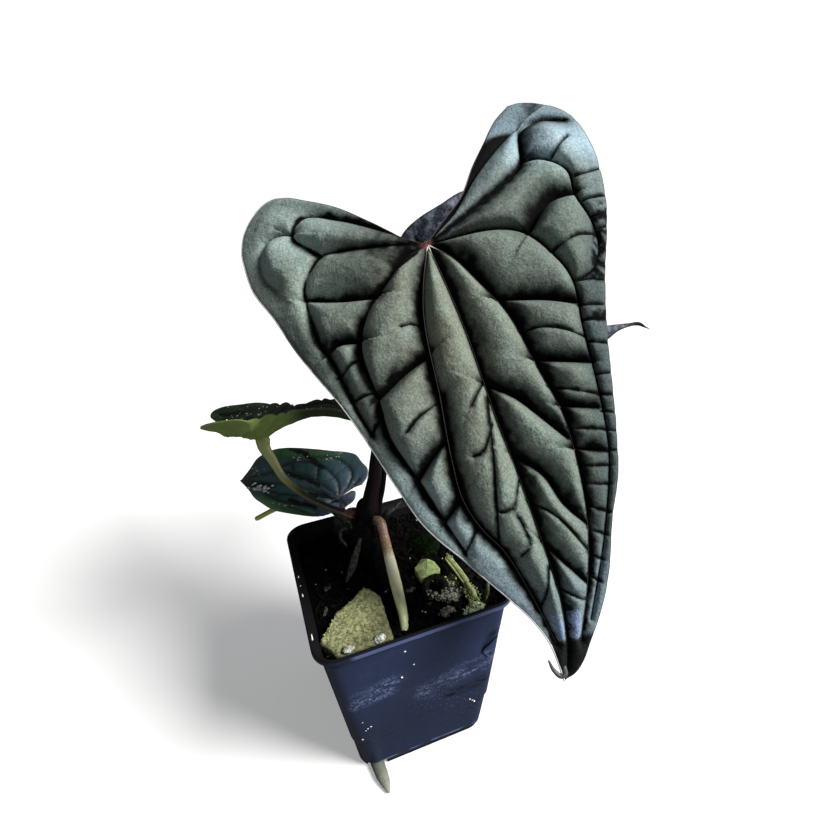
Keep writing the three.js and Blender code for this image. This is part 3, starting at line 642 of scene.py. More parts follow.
@dataclass(frozen=True)
class PotPlastic(Finish):
    """Dark navy moulded plastic with lilac scuffs, dust and water marks, painted highlight lines, a paler
    painted lip band, and painted shade inside, on the rim top, at the foot, the step, the dent and towards
    the lower left.
    """

    base: Colour = tone(34, 45, 72)
    scuff_and_highlight: Colour = tone(122, 136, 176)
    deep: Colour = tone(6, 7, 10)
    scuffs: tuple = (
        ((-28, -39.6, 64.5), (-15, -39.4, 67.5), 4.0),
        ((-33, -39.3, 59.5), (-14, -38.9, 62), 2.2),
        ((3, -38.3, 50.5), (18, -38.3, 53.5), 4.6),
        ((18, -38.5, 54.5), (35, -38.5, 57.5), 5.0),
    )
    # Painted highlight lines along the foot of the lip and along the foot edge.
    creases: tuple = (
        ((-14, -45, 96.5), (4, -45, 96.8)),
        ((10, -45, 96.8), (38, -45, 97)),
        ((-24, -33.8, 4.6), (28, -33.8, 4.6)),
    )

    def paint(self, p: Paint) -> bpy.types.Material:
        """Lays the finish on a new material.

        Args:
            p: The material's node tree.

        Returns:
            The material.
        """
        cloud = p.noise(14, 5)
        fine = p.noise(1.1, 6)
        rubbed = p.noise(4, 6, (0.5, 1, 1.6))
        marks: Wire | None = None
        for start, end, width in self.scuffs:
            mark = p.streak(start, end).between(width * 2.3, 0)
            marks = mark if marks is None else marks.most(mark)
        # The painted highlight lines, broken up by noise.
        lines: Wire | None = None
        for start, end in self.creases:
            line = p.streak(start, end).between(0.75, 0.3)
            lines = line if lines is None else lines.most(line)
        line_breaks = p.noise(2.2, 4, (0.3, 1, 1)).between(0.46, 0.56)
        speck = p.streak((4, -37, 44), (28, -37, 24)).between(17, 4)
        dots = p.cells(1.6).between(0.34, 0.12) * fine.between(0.42, 0.6)
        # Real scuffs and specks together with the painted highlight lines; all of them take the scuff
        # colour.
        dust_and_highlights = (marks * rubbed.between(0.36, 0.74) * fine.between(0.4, 0.62) * 1.3).held()
        dust_and_highlights = (dust_and_highlights + lines * line_breaks * 0.9 + speck * dots * 0.5 + cloud.between(0.6, 0.85) * 0.1).held()
        scratch = p.noise(0.5, 3, (0.06, 1, 1)).between(0.66, 0.76) * cloud * 0.1
        colour = p.mix((dust_and_highlights + scratch).held(), p.mix(cloud, self.base, tone(44, 54, 82)), self.scuff_and_highlight)
        # Painted shade: the inside of the pot and the top of its rim are painted near black.
        colour = p.mix(p.value("inner"), colour, self.deep)
        # Painted shade: a dark band at the foot and a dark line under the step. The wet patch is a darker
        # water mark.
        foot = p.streak((-33, -33.6, 1), (33, -33.6, 1)).between(2.6, 1.4)
        step_shade = p.streak((-36, -36, 26.6), (-6, -36, 26.6)).between(1, 0.5) * (0.4 + fine * 0.6)
        wet = p.streak((14, -37.4, 41), (32, -37.8, 44)).between(7, 1) * rubbed.between(0.4, 0.6)
        colour = p.mix(foot.most(step_shade.most(wet)) * 0.85, colour, self.deep)
        # Painted shade in the dent.
        dent_shade = p.streak((31.5, -41, 69), (35, -41, 76)).between(4, 1)
        colour = p.mix(dent_shade * 0.8, colour, self.deep)
        x, z = (p.node("ShaderNodeSeparateXYZ", None, {0: p.place()}, axis) for axis in "XZ")
        # Painted shade: darker towards the bottom and the left side of the pot.
        lower_left_shade = z.between(0.07, 0.025) * 0.3 + x.between(-0.024, -0.036) * 0.2
        colour = p.shade(colour, 1 - lower_left_shade)
        # Painted shade on the top edge of the rim and the front left corner of the rim. The lip's outer face
        # gets a paler painted highlight band.
        rim_top_shade, corner = z.between(0.0985, 0.0993), p.streak((-46, -34, 97), (-35, -46, 97)).between(7, 3.5)
        lip = (z.between(0.0962, 0.097) - rim_top_shade - p.value("inner")).held()
        colour = p.mix(lip * 0.8, colour, tone(90, 98, 136))
        colour = p.mix(rim_top_shade.most(corner) * 0.85, colour, self.deep)
        rough = (0.34 + dust_and_highlights * 0.4 + cloud * 0.12 + p.value("inner") * 0.35).held()
        return p.surface(
            Base_Color=colour,
            Roughness=rough,
            Normal=p.bump(p.noise(0.6, 4), 0.03, p.bump(cloud, 0.6)),
            Specular_IOR_Level=0.16,
        )


@dataclass(frozen=True)
class Speckled(Finish):
    """A matt or satin skin of mottled colours with a fine grain and a bump."""

    light: Colour
    dark: Colour
    fleck: Colour
    size: float = 3.0
    grain: float = 0.5
    depth: float = 0.4
    roughness: float = 0.85
    flecks: float = 0.3
    tint: float = 0.0
    pepper: float = 0.0
    gloss: float = 0.35

    def paint(self, p: Paint) -> bpy.types.Material:
        """Lays the finish on a new material.

        Args:
            p: The material's node tree.

        Returns:
            The material.
        """
        cloud = p.noise(self.size, 5)
        fine = p.noise(self.grain, 5)
        spots = p.cells(self.grain * 2.2).between(0.42, 0.16) * fine.between(0.4, 0.6)
        colour = p.mix(cloud.between(0.34, 0.66), self.dark, self.light)
        colour = p.mix((spots * self.flecks).held(), colour, self.fleck)
        pepper = p.noise(self.grain * 0.8, 3).between(0.5, 0.62) * self.pepper
        colour = p.mix(pepper.held(), colour, self.dark)
        vary = p.value("tint") * self.tint + 1 - self.tint / 2
        colour = p.shade(colour, vary * (0.7 + fine * 0.6))
        return p.surface(
            Base_Color=colour,
            Roughness=(self.roughness - 0.15 + fine * 0.3).held(),
            Normal=p.bump(fine, self.depth * 0.5, p.bump(cloud, self.depth)),
            Specular_IOR_Level=self.gloss,
        )


@dataclass(frozen=True)
class StalkSkin(Finish):
    """A petiole or root that changes colour along its length, with fine ridges, pale streaks and a painted
    highlight along one side.
    """

    stops: tuple
    light: Colour
    streaks: float = 0.25
    roughness: float = 0.42
    coat: float = 0.0
    ridges: float = 0.15
    gloss: float = 0.4

    def paint(self, p: Paint) -> bpy.types.Material:
        """Lays the finish on a new material.

        Args:
            p: The material's node tree.

        Returns:
            The material.
        """
        along = p.value("along")
        fine = p.noise(0.7, 5)
        lines = p.noise(0.5, 3, (1, 1, 0.12))
        colour = p.ramp((along + (fine - 0.5) * 0.12).held(), self.stops)
        # Painted highlight: the light colour along one side of the stalk. The pale streaks are partly the
        # stalk's own stripes and partly painted highlight.
        lit_side = p.value("around").between(0.72, 0.98)
        colour = p.mix((lines.between(0.5, 0.7) * self.streaks).held(), colour, self.light)
        colour = p.mix((lit_side * self.streaks * 1.4).held(), colour, self.light)
        return p.surface(
            Base_Color=p.shade(colour, 0.75 + fine * 0.5),
            Roughness=(self.roughness - 0.1 + fine * 0.25).held(),
            Normal=p.bump(lines, self.ridges, p.bump(p.noise(2.4, 3), 0.3)),
            Coat_Weight=self.coat,
            Coat_Roughness=0.25,
            Specular_IOR_Level=self.gloss,
        )


@dataclass(frozen=True)
class VelvetLeaf(Finish):
    """The quilted velvet of the large leaf: grey-green, olive in the middle, with a painted blue sheen by
    the edge, painted highlights on the pillows and painted shade in the grooves.
    """

    green: Colour = tone(110, 121, 113)
    olive: Colour = tone(118, 123, 110)
    slate: Colour = tone(109, 126, 136)
    teal: Colour = tone(129, 148, 141)
    groove: Colour = tone(7, 7, 6)
    under: Colour = tone(96, 110, 84)

    def paint(self, p: Paint) -> bpy.types.Material:
        """Lays the finish on a new material.

        Args:
            p: The material's node tree.

        Returns:
            The material.
        """
        rise = p.value("rise")
        cloud, grain = p.noise(9, 4), p.noise(0.9, 4)
        velvet = p.cells(0.6)
        colour = p.mix(p.value("olive"), self.green, self.olive)
        # Painted highlight: a paler teal on the tops of the pillows.
        colour = p.mix((cloud.between(0.45, 0.7) * rise * 0.7).held(), colour, self.teal)
        # Painted reflection: a slate blue sheen by the margins, on the lobes and near the tip.
        colour = p.mix((p.value("slate") * (0.55 + cloud * 0.6)).held(), colour, self.slate)
        mottle = p.noise(2.6, 6)
        # Painted shade: the shaded sides of the grooves and the fold go near black.
        dark = p.value("dusk") + (mottle - 0.5) * 0.35 * p.value("dusk").between(0, 0.4)
        colour = p.mix(dark.between(0.06, 0.82), colour, self.groove)
        # Painted reflection: a bluish white patch near the tip, broken up by noise.
        shine = p.value("shine") * mottle.between(0.3, 0.55)
        colour = p.mix(shine.between(0.06, 0.3) * 0.9, colour, tone(134, 152, 184))
        colour = p.mix((p.value("tip") * 0.95).held(), colour, tone(9, 9, 6))
        colour = p.mix(p.value("joint").between(0.35, 0.9), colour, tone(104, 66, 70))
        speck = 0.62 + grain.between(0.3, 0.7) * 0.56 + velvet * 0.24
        # The velvet grain, times painted light and shade by region.
        colour = p.shade(colour, speck * p.value("tone"))
        colour = p.mix(p.value("under"), colour, self.under)
        return p.surface(
            Base_Color=colour,
            Roughness=(0.62 + grain * 0.25 - p.value("shine") * 0.22).held(),
            Normal=p.bump(grain, 0.3, p.bump(p.noise(3.2, 5), 0.6)),
            Sheen_Weight=0.012,
            Sheen_Roughness=0.45,
            Sheen_Tint=tone(190, 205, 205),
            Specular_IOR_Level=0.05,
        )


@dataclass(frozen=True)
class GlossyLeaf(Finish):
    """A smaller blade: a satin upper face with painted shade in its grooves and hollows, a painted lilac
    sheen by the joint where banded, and another colour below.
    """

    face: Colour
    tinge: Colour
    groove: Colour
    below: Colour
    edge: Colour
    roughness: float = 0.34
    bumps: float = 0.5
    grooves: float = 1.0
    banded: float = 0.0
    fading: float = 0.0
    end: Colour = tone(84, 80, 58)
    gloss: float = 0.5

    def paint(self, p: Paint) -> bpy.types.Material:
        """Lays the finish on a new material.

        Args:
            p: The material's node tree.

        Returns:
            The material.
        """
        rise = p.value("rise")
        cloud, grain = p.noise(5, 4), p.noise(0.6, 4)
        band = (p.value("margin") + (cloud - 0.5) * 0.5).between(0.55, 0.8) * self.banded
        tinge = cloud.between(0.4, 0.66) * (1 - self.banded) + band
        colour = p.mix(tinge.held(), self.face, self.tinge)
        colour = p.mix((p.value("lobe") * self.banded * 0.8).held(), colour, tone(76, 98, 114))
        # Painted reflection: a lilac sheen on the near lobe.
        colour = p.mix((p.value("lilac") * self.banded).held(), colour, tone(116, 124, 152))
        # Painted shade: the grooves darken towards the groove colour, and the hollows go near black.
        depth = 1 - (1 - rise.between(0.02, 0.6)) * self.grooves
        colour = p.mix(depth, self.groove, colour)
        colour = p.mix(p.value("pocket").between(0.2, 0.6), colour, tone(3, 6, 7))
        colour = p.mix(p.value("tip"), colour, self.end)
        colour = p.mix(p.value("edge"), colour, self.edge)
        below = p.mix((p.value("along") * self.fading).held(), self.below, self.face)
        colour = p.mix(p.value("under"), colour, below)
        return p.surface(
            Base_Color=p.shade(colour, 0.7 + grain * 0.6),
            Roughness=(self.roughness + grain * 0.22 + cloud * 0.1).held(),
            Normal=p.bump(grain, 0.1, p.bump(p.noise(1.8, 3), self.bumps)),
            Coat_Weight=self.gloss * 0.24,
            Coat_Roughness=0.3,
            Specular_IOR_Level=self.gloss,
        )


@dataclass(frozen=True)
class Even(Finish):
    """A small plain thing with a little mottling, such as a vein line or a water drop."""

    colour: Colour
    far: Colour
    roughness: float = 0.6

    def paint(self, p: Paint) -> bpy.types.Material:
        """Lays the finish on a new material.

        Args:
            p: The material's node tree.

        Returns:
            The material.
        """
        fine = p.noise(0.9, 4)
        colour = p.mix((p.value("far") + (fine - 0.5) * 0.2).held(), self.colour, self.far)
        return p.surface(
            Base_Color=p.shade(colour, 0.8 + fine * 0.4),
            Roughness=(self.roughness - 0.1 + fine * 0.2).held(),
            Normal=p.bump(fine, 0.05),
        )


POT_FINISH = PotPlastic("pot_plastic")
# The bark mix, its crumbs and fibres: their own dark brown, made near black as painted shade under the
# leaves.
EARTH = Speckled(
    "bark_mix", tone(9, 8, 7), tone(3, 3, 2), tone(24, 21, 18), 2.4, 0.6, 0.8, flecks=0.15, gloss=0.05
)
CRUMB = Speckled(
    "bark_crumbs", tone(9, 8, 7), tone(3, 3, 2), tone(34, 31, 26), 1.6, 0.5, 0.4,
    roughness=0.75, flecks=0.2, tint=1.4, gloss=0.07,
)
FIBRE = Speckled(
    "mix_fibres", tone(22, 20, 17), tone(7, 6, 5), tone(54, 50, 44), 2, 0.4, 0.15, tint=1.0, gloss=0.1
)
GRIT = Speckled(
    "white_grit", tone(226, 224, 214), tone(168, 166, 150), tone(250, 250, 245), 1, 0.3, 0.1,
    roughness=0.7, tint=0.5,
)
WHITE_GRAIN = Speckled(
    "white_grain", tone(196, 202, 192), tone(104, 112, 98), tone(244, 246, 240), 1.4, 0.5, 0.7,
    roughness=0.9, flecks=0.5, tint=0.6,
)
SHOOT = Speckled(
    "green_shoot", tone(84, 94, 52), tone(40, 48, 24), tone(150, 158, 110), 3, 0.5, 0.2, 0.6
)
STEM_SKIN = Speckled(
    "stem_skin", tone(8, 4, 4), tone(3, 2, 2), tone(34, 22, 20), 2.6, 0.6, 0.5,
    roughness=0.5, flecks=0.2, gloss=0.1,
)
NODULE = Speckled(
    "stem_nodule", tone(112, 66, 60), tone(34, 16, 16), tone(130, 100, 92), 3, 0.5, 0.4, 0.5
)
DARK_PETIOLE = StalkSkin(
    "dark_petiole",
    ((0, tone(9, 4, 5)), (0.3, tone(16, 6, 9)), (0.8, tone(28, 10, 15)), (1, tone(96, 62, 58))),
    tone(128, 96, 102), 0.05, 0.5, 0, gloss=0.14,
)
LEFT_PETIOLE = StalkSkin(
    "left_petiole",
    (
        (0, tone(20, 12, 16)), (0.3, tone(34, 28, 26)), (0.5, tone(72, 70, 46)),
        (0.64, tone(152, 154, 92)), (0.84, tone(186, 190, 116)), (1, tone(160, 172, 92)),
    ),
    tone(168, 164, 140), 0.16, 0.36, 0.15,
)
AERIAL_SKIN = StalkSkin(
    "aerial_root_skin",
    (
        (0, tone(112, 80, 64)), (0.2, tone(158, 112, 82)), (0.29, tone(166, 138, 88)),
        (0.36, tone(255, 250, 220)), (0.6, tone(252, 252, 192)), (0.8, tone(190, 196, 140)),
        (1, tone(118, 122, 92)),
    ),
    tone(255, 253, 236), 0.5, 0.4, 0.4,
)
SIDE_SKIN = StalkSkin(
    "side_root_skin",
    ((0, tone(14, 11, 9)), (0.5, tone(24, 22, 14)), (0.72, tone(176, 184, 90)), (1, tone(206, 214, 112))),
    tone(220, 222, 150),
)
DRAIN_SKIN = StalkSkin(
    "drain_root_skin",
    ((0, tone(64, 72, 58)), (0.5, tone(106, 112, 98)), (1, tone(126, 128, 116))),
    tone(176, 174, 166), 0.35, 0.6,
)
DRY = Speckled(
    "dry_scale", tone(74, 72, 64), tone(24, 22, 18), tone(170, 168, 158), 1.6, 0.4, 0.2, flecks=0.4
)
PALE = Speckled(
    "pale_chunk", tone(176, 178, 132), tone(104, 108, 70), tone(230, 230, 204), 1.4, 0.3, 0.3,
    roughness=0.92, flecks=0.6, tint=1.1, pepper=0.8, gloss=0.1,
)
GREEN = Speckled(
    "green_chunk", tone(162, 174, 124), tone(104, 122, 66), tone(222, 228, 190), 3.4, 0.5, 0.5,
    roughness=0.9, flecks=0.6, tint=0.9, pepper=0.7, gloss=0.15,
)
BARK = Speckled(
    "bark", tone(26, 25, 22), tone(7, 7, 5), tone(90, 90, 80), 2.2, 0.5, 0.7, flecks=0.4, gloss=0.1
)
STUB = Speckled(
    "cut_stem", tone(164, 174, 120), tone(116, 126, 76), tone(222, 226, 194), 3, 0.5, 0.2,
    roughness=0.6, flecks=0.3, tint=1.2,
)
CLUMP = Speckled(
    "grey_clump", tone(168, 168, 152), tone(46, 46, 38), tone(236, 236, 224), 1.8, 0.5, 0.8,
    roughness=0.9, flecks=0.6, tint=1.2,
)
CRUST = Speckled(
    "pale_crust", tone(158, 170, 140), tone(86, 96, 70), tone(220, 224, 208), 1.6, 0.4, 0.5,
    flecks=0.5, tint=0.9,
)
PEBBLE = Speckled(
    "grey_pebble", tone(128, 124, 114), tone(34, 32, 28), tone(186, 182, 172), 2, 0.5, 0.6,
    roughness=0.9, flecks=0.4, tint=1.0,
)
MOSS = Speckled(
    "moss", tone(22, 38, 18), tone(3, 6, 2), tone(78, 100, 60), 1.6, 0.4, 0.6,
    roughness=0.95, flecks=0.5, tint=1.4, pepper=0.5, gloss=0.02,
)
VELVET = VelvetLeaf("velvet_leaf")
SLATE = GlossyLeaf(
    "slate_leaf", tone(52, 58, 70), tone(132, 140, 156), tone(5, 6, 9), tone(76, 92, 62),
    tone(34, 38, 28), 0.5, 0.9, end=tone(30, 36, 22), gloss=0.14,
)
GREEN_FACE = GlossyLeaf(
    "green_leaf", tone(26, 43, 24), tone(56, 76, 46), tone(4, 7, 4), tone(136, 156, 82),
    tone(60, 76, 44), 0.32, 0.5, fading=0.9,
)
TEAL = GlossyLeaf(
    "teal_leaf", tone(64, 96, 100), tone(84, 138, 84), tone(12, 22, 26), tone(96, 120, 88),
    tone(110, 118, 124), 0.3, 0.4, 0.6, 1.0,
)
# Vein lines that are pale near the joint; along the grooves their pale colour is also a painted highlight.
PALE_VEIN = Even("pale_vein_and_highlight", tone(210, 208, 192), tone(84, 88, 74), 0.5)
# The blade's edge line: a painted highlight on the lower left edge, dark on the other edges.
RIM_HIGHLIGHT = Even("leaf_rim_highlight", tone(206, 206, 206), tone(50, 46, 46), 0.5)
HOOK = Even("leaf_hook", tone(74, 78, 70), tone(74, 78, 70), 0.5)
# Pure white lumps that stand for the glints of wet specks: painted highlights.
WET_GLINT = Even("wet_glint", tone(250, 252, 252), tone(250, 252, 252), 0.12)


def dress(
    piece: bpy.types.Object, finish: Finish, slot: Slot, *replaced: str
) -> bpy.types.Object:
    """Gives a new piece its finish, hangs it under the root body and hides the CAD nodes that it stands for.

    Args:
        piece: The new piece.
        finish: Its finish.
        slot: Not used.
        *replaced: The CAD nodes that it stands for.

    Returns:
        The piece.
    """
    piece.data.materials.append(finish.material())
    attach(piece, "root")
    if replaced:
        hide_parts(*replaced)
    LOG.info("%s: %d faces, %s", piece.name, len(piece.data.polygons), finish.name)
    return piece


# The pot


@dataclass
class Pot:
    """The square tapered nursery pot."""

    height: float = 100
    rim_half: float = 45
    rim_corner: float = 10
    wall: float = 1.2
    lip: float = 3.8
    body_half: float = 42.2
    body_corner: float = 6.5
    step_z: float = 27
    step_in: float = 0.6
    step_half: float = 36
    base_half: float = 33.6
    base_corner: float = 9
    foot_height: float = 1.8
    foot_half: float = 33.1
    floor_top: float = 3.4
    slot: tuple[float, float, float] = (12, 9.5, 9.2)
    slot_from: float = 35
    slot_turn: float = 51
    arc: int = 10
    straight: int = 22
    dent: tuple[float, float] = (32.8, 72.5)
    dent_depth: float = 1.5
    inner_rings: int = 9
    sharp: float = 42
    front_grains: Path = (
        (-7.8, 86.8), (-4.2, 75.3), (-10, 68.9), (-30.1, 45.4), (-28.1, 38.7), (-26.6, 39.4),
        (-29.2, 37.7), (-31.2, 31), (23.9, 29.4), (25.2, 27.8), (26.4, 25.8),
    )
    # The white lumps inside the left and the back lip are painted glints.
    lip_glints: int = 56
    lip_glint_groups: tuple[float, ...] = (7, -1, -4, -28)
    back_glints: tuple[float, ...] = (-31, -22)

    def ring(self, half: float, corner: float, z: float) -> np.ndarray:
        """A square ring with rounded corners and slightly bowed sides.

        Args:
            half: Half its width.
            corner: The radius of its corners.
            z: Its height.

        Returns:
            Its points.
        """
        points = []
        for quarter in range(4):
            signs = ((1, 1), (-1, 1), (-1, -1), (1, -1))
            (sx, sy), (tx, ty) = signs[quarter], signs[(quarter + 1) % 4]
            angles = (quarter + np.linspace(0, 1, self.arc + 1)) * math.pi / 2
            x = (half - corner) * sx + corner * np.cos(angles)
            y = (half - corner) * sy + corner * np.sin(angles)
            points += list(zip(x, y))
            turn = (quarter + 1) * math.pi / 2
            start = np.array(points[-1])
            end = np.array([(half - corner) * tx, (half - corner) * ty])
            end = end + corner * np.array([math.cos(turn), math.sin(turn)])
            shares = np.linspace(0, 1, self.straight + 2)[1:-1]
            bow = 0.5 * np.sin(math.pi * shares) * math.sin(math.pi * min(z / self.height, 1))
            inward = -np.array([math.cos(turn), math.sin(turn)])
            points += list(start + (end - start) * shares[:, None] + inward * bow[:, None])
        return np.column_stack([np.array(points), np.full(len(points), z)])

    def profile(self) -> list[tuple[float, float, float]]:
        """Half width, corner and height of each ring, up the outside and down the inside.

        Returns:
            The rings in order.
        """
        lip_foot, foot, top = self.height - self.lip, self.foot_height, self.height
        rim, round_rim, round_base = self.rim_half, self.rim_corner, self.base_corner
        rows = [(self.foot_half - 0.5, round_base, 0), (self.foot_half, round_base, 0.4)]
        rows += [(self.foot_half, round_base, foot - 0.2), (self.base_half, round_base, foot + 0.3)]
        for t in np.linspace(0, 1, 10)[1:]:
            half = self.base_half + (self.step_half - self.step_in - self.base_half) * t
            corner = self.base_corner + (self.body_corner - self.base_corner) * t
            rows.append((half, corner, foot + 0.3 + (self.step_z - 0.9 - foot - 0.3) * t))
        rows += [(self.step_half - 0.15, self.body_corner, self.step_z)]
        rows += [(self.step_half, self.body_corner, self.step_z + 0.4)]
        for t in np.linspace(0, 1, 26)[1:]:
            half = self.step_half + (self.body_half - self.step_half) * t
            rows.append((half, self.body_corner, self.step_z + 0.4 + (lip_foot - self.step_z - 0.4) * t))
        rows += [(rim - 0.6, round_rim, lip_foot + 0.1), (rim - 0.1, round_rim, lip_foot + 0.5)]
        rows += [(rim, round_rim, lip_foot + 1.6), (rim, round_rim, top - 0.6)]
        rows += [(rim - 0.15, round_rim, top - 0.15), (rim - 0.5, round_rim, top)]
        bore, round_bore, thin = rim - self.wall, round_rim - self.wall, self.body_corner - self.wall
        rows += [(bore + 0.2, round_bore, top - 0.15), (bore - 0.1, round_bore, top - 1)]
        rows += [(bore - 0.3, round_bore, lip_foot + self.wall + 0.5)]
        rows += [(self.body_half - self.wall, thin, lip_foot - 0.4)]
        rows += [(self.body_half - self.wall - 1.5, thin, 80)]
        rows += [(self.step_half - self.step_in - self.wall, thin, self.step_z)]
        rows += [(self.base_half - self.wall, round_base - self.wall, self.floor_top)]
        return rows

    def build(self) -> None:
        """Makes the shell with its dent, cuts its drain slots, and adds burr and flecks."""
        rings = [self.ring(*row) for row in self.profile()]
        points, faces = skin(rings, [(0, 0, 0), (0, 0, self.floor_top)])
        x, z = self.dent
        front = np.exp(-((points[:, 0] - x) / 4) ** 2 - ((points[:, 2] - z) / 6) ** 2)
        points[:, 1] += np.where(points[:, 1] < -30, self.dent_depth * front, 0)
        # Marks the inside rings and the rim's top for the painted shade.
        inner = np.repeat(np.arange(len(rings)) >= len(rings) - self.inner_rings, len(rings[0]))
        inner = np.append(inner, [False, True]).astype(float)
        shell = Shape().add(points, faces, inner=inner).build("pot_shell")
        self.cut_slots(shell)
        shell.data.set_sharp_from_angle(angle=math.radians(self.sharp))
        dress(shell, POT_FINISH, Slot.POT, "pot")
        dress(self.burr().build("pot_burr"), POT_FINISH, Slot.POT)
        dress(self.flecks().build("pot_grains_and_glints"), GRIT, Slot.POT)

    def cut_slots(self, shell: bpy.types.Object) -> None:
        """Cuts the four drain slots by the corners of the foot.

        Args:
            shell: The shell, whose mesh is replaced.
        """
        cutter = bpy.data.meshes.new("slot_cutter")
        points, faces = [], []
        for turn in range(4):
            spin = Matrix.Rotation(math.radians(turn * 90 + self.slot_turn), 3, "Z")
            base = len(points)
            for i in range(8):
                sx, sy, sz = i & 1, (i >> 1) & 1, (i >> 2) & 1
                x = self.slot_from + sx * self.slot[0]
                corner = Vector((x, (sy - 0.5) * self.slot[1], (sz - 0.5) * self.slot[2]))
                points.append(spin @ corner * MM)
            quads = ((0, 2, 3, 1), (4, 5, 7, 6), (0, 1, 5, 4), (2, 6, 7, 3), (0, 4, 6, 2), (1, 3, 7, 5))
            faces += [[base + i for i in quad] for quad in quads]
        cutter.from_pydata(points, [], faces)
        tool = bpy.data.objects.new("slot_cutter", cutter)
        bpy.context.scene.collection.objects.link(tool)
        cut = shell.modifiers.new("slots", "BOOLEAN")
        cut.object, cut.operation, cut.solver = tool, "DIFFERENCE", "EXACT"
        graph = bpy.context.evaluated_depsgraph_get()
        mesh = bpy.data.meshes.new_from_object(shell.evaluated_get(graph))
        shell.modifiers.clear()
        shell.data = mesh
        bpy.data.objects.remove(tool)

    def burr(self) -> Shape:
        """The curled sliver of plastic at the dent.

        Returns:
            The sliver.
        """
        curl = [(36.3, -40.5, 74.8), (32.6, -40.1, 71), (29.6, -39.5, 67.2), (31.2, -39.2, 63)]
        tail = [(31.2, -39.2, 63), (32.6, -39.2, 61.6), (34.3, -39.1, 63.2)]
        radii = [0.25, 0.55, 0.6, 0.4]
        return Shape().tube(curl, radii, 8, 24, 0.5).tube(tail, [0.4, 0.45, 0.2], 8, 10, 0.5)

    def flecks(self) -> Shape:
        """White grains stuck to the front wall, and white lumps inside the left and the back lip that stand
        for painted glints.

        Returns:
            The grains.
        """
        shape = Shape()
        for k, (x, z) in enumerate(self.front_grains):
            share = (z - self.step_z) / (self.height - self.lip - self.step_z)
            y = -(self.step_half + (self.body_half - self.step_half) * share) + 0.25
            shape.lump((1.1, 0.6, 0.9), (x, y, z), k, 1, 0.3, tint=1.2)
        # Painted glints: white lumps on the inner face of the left lip and the back lip.
        draw = np.random.default_rng(4)
        for k in range(self.lip_glints):
            y = self.lip_glint_groups[k % len(self.lip_glint_groups)] + draw.normal(0, 2.4)
            at = (-self.rim_half + self.wall + 0.45, y, 96 + 1.3 * math.sin(y * 1.7) + draw.normal(0, 0.9))
            high = draw.uniform(0.35, 1.5)
            size = (0.6, high * draw.uniform(0.8, 2.4), high * 0.7)
            shape.lump(size, at, k + 30, 1, 0.5, tint=1.2)
        for x in self.back_glints:
            shape.lump((1.8, 0.6, 0.8), (x, self.rim_half - self.wall - 0.4, 96.4), 91, 1, 0.5, tint=0.4)
        return shape


# The blades


@dataclass(frozen=True)
class Vein:
    """A groove: its path, and how fast the blade rises on its left and its right."""

    path: Path
    left: float = 1.6
    right: float = 1.6

    def distance(self, spots: np.ndarray, bias: float = 1) -> tuple[np.ndarray, np.ndarray]:
        """Measures how far spots lie from the groove.

        Args:
            spots: Points in the blade's plane.
            bias: How strongly the steeper side is stretched.

        Returns:
            The distances stretched by the rise, and the plain distances.
        """
        line = spaced(self.path, 2.5)
        best = np.full(len(spots), 1e9)
        rise = np.ones(len(spots))
        for a, b in zip(line, line[1:]):
            run = b - a
            du, dv = spots[:, 0] - a[0], spots[:, 1] - a[1]
            share = np.clip((du * run[0] + dv * run[1]) / (run @ run), 0, 1)
            away = np.hypot(du - share * run[0], dv - share * run[1])
            side = np.where(run[0] * dv - run[1] * du < 0, self.left, self.right)
            rise = np.where(away < best, side, rise)
            best = np.minimum(away, best)
        return best * rise**bias, best


def rung(path: Path) -> Vein:
    """A cross vein, with the steeper rise on its side towards the tip."""
    rightwards = path[-1][1] > path[0][1]
    return Vein(path, 2.4, 1.0) if rightwards else Vein(path, 1.0, 2.4)


def merged(spots: np.ndarray, veins: Iterable[Vein], bias: float = 1) -> np.ndarray:
    """Blends the distances to many grooves into one, with the steeper sides stretched by a bias."""
    total = sum(np.maximum(vein.distance(spots, bias)[0], 1e-3) ** -4 for vein in veins)
    return total**-0.25


def inside(loop: np.ndarray, spots: np.ndarray) -> np.ndarray:
    """Tells which spots lie inside a closed outline.

    Args:
        loop: The outline's points.
        spots: Points in the same plane.

    Returns:
        True or false for each.
    """
    odd = np.zeros(len(spots), bool)
    u, v = spots[:, 0], spots[:, 1]
    for (au, av), (bu, bv) in zip(loop, np.roll(loop, -1, axis=0)):
        if av != bv:
            crosses = ((av > v) != (bv > v)) & (u < (bu - au) * (v - av) / (bv - av) + au)
            odd ^= crosses
    return odd


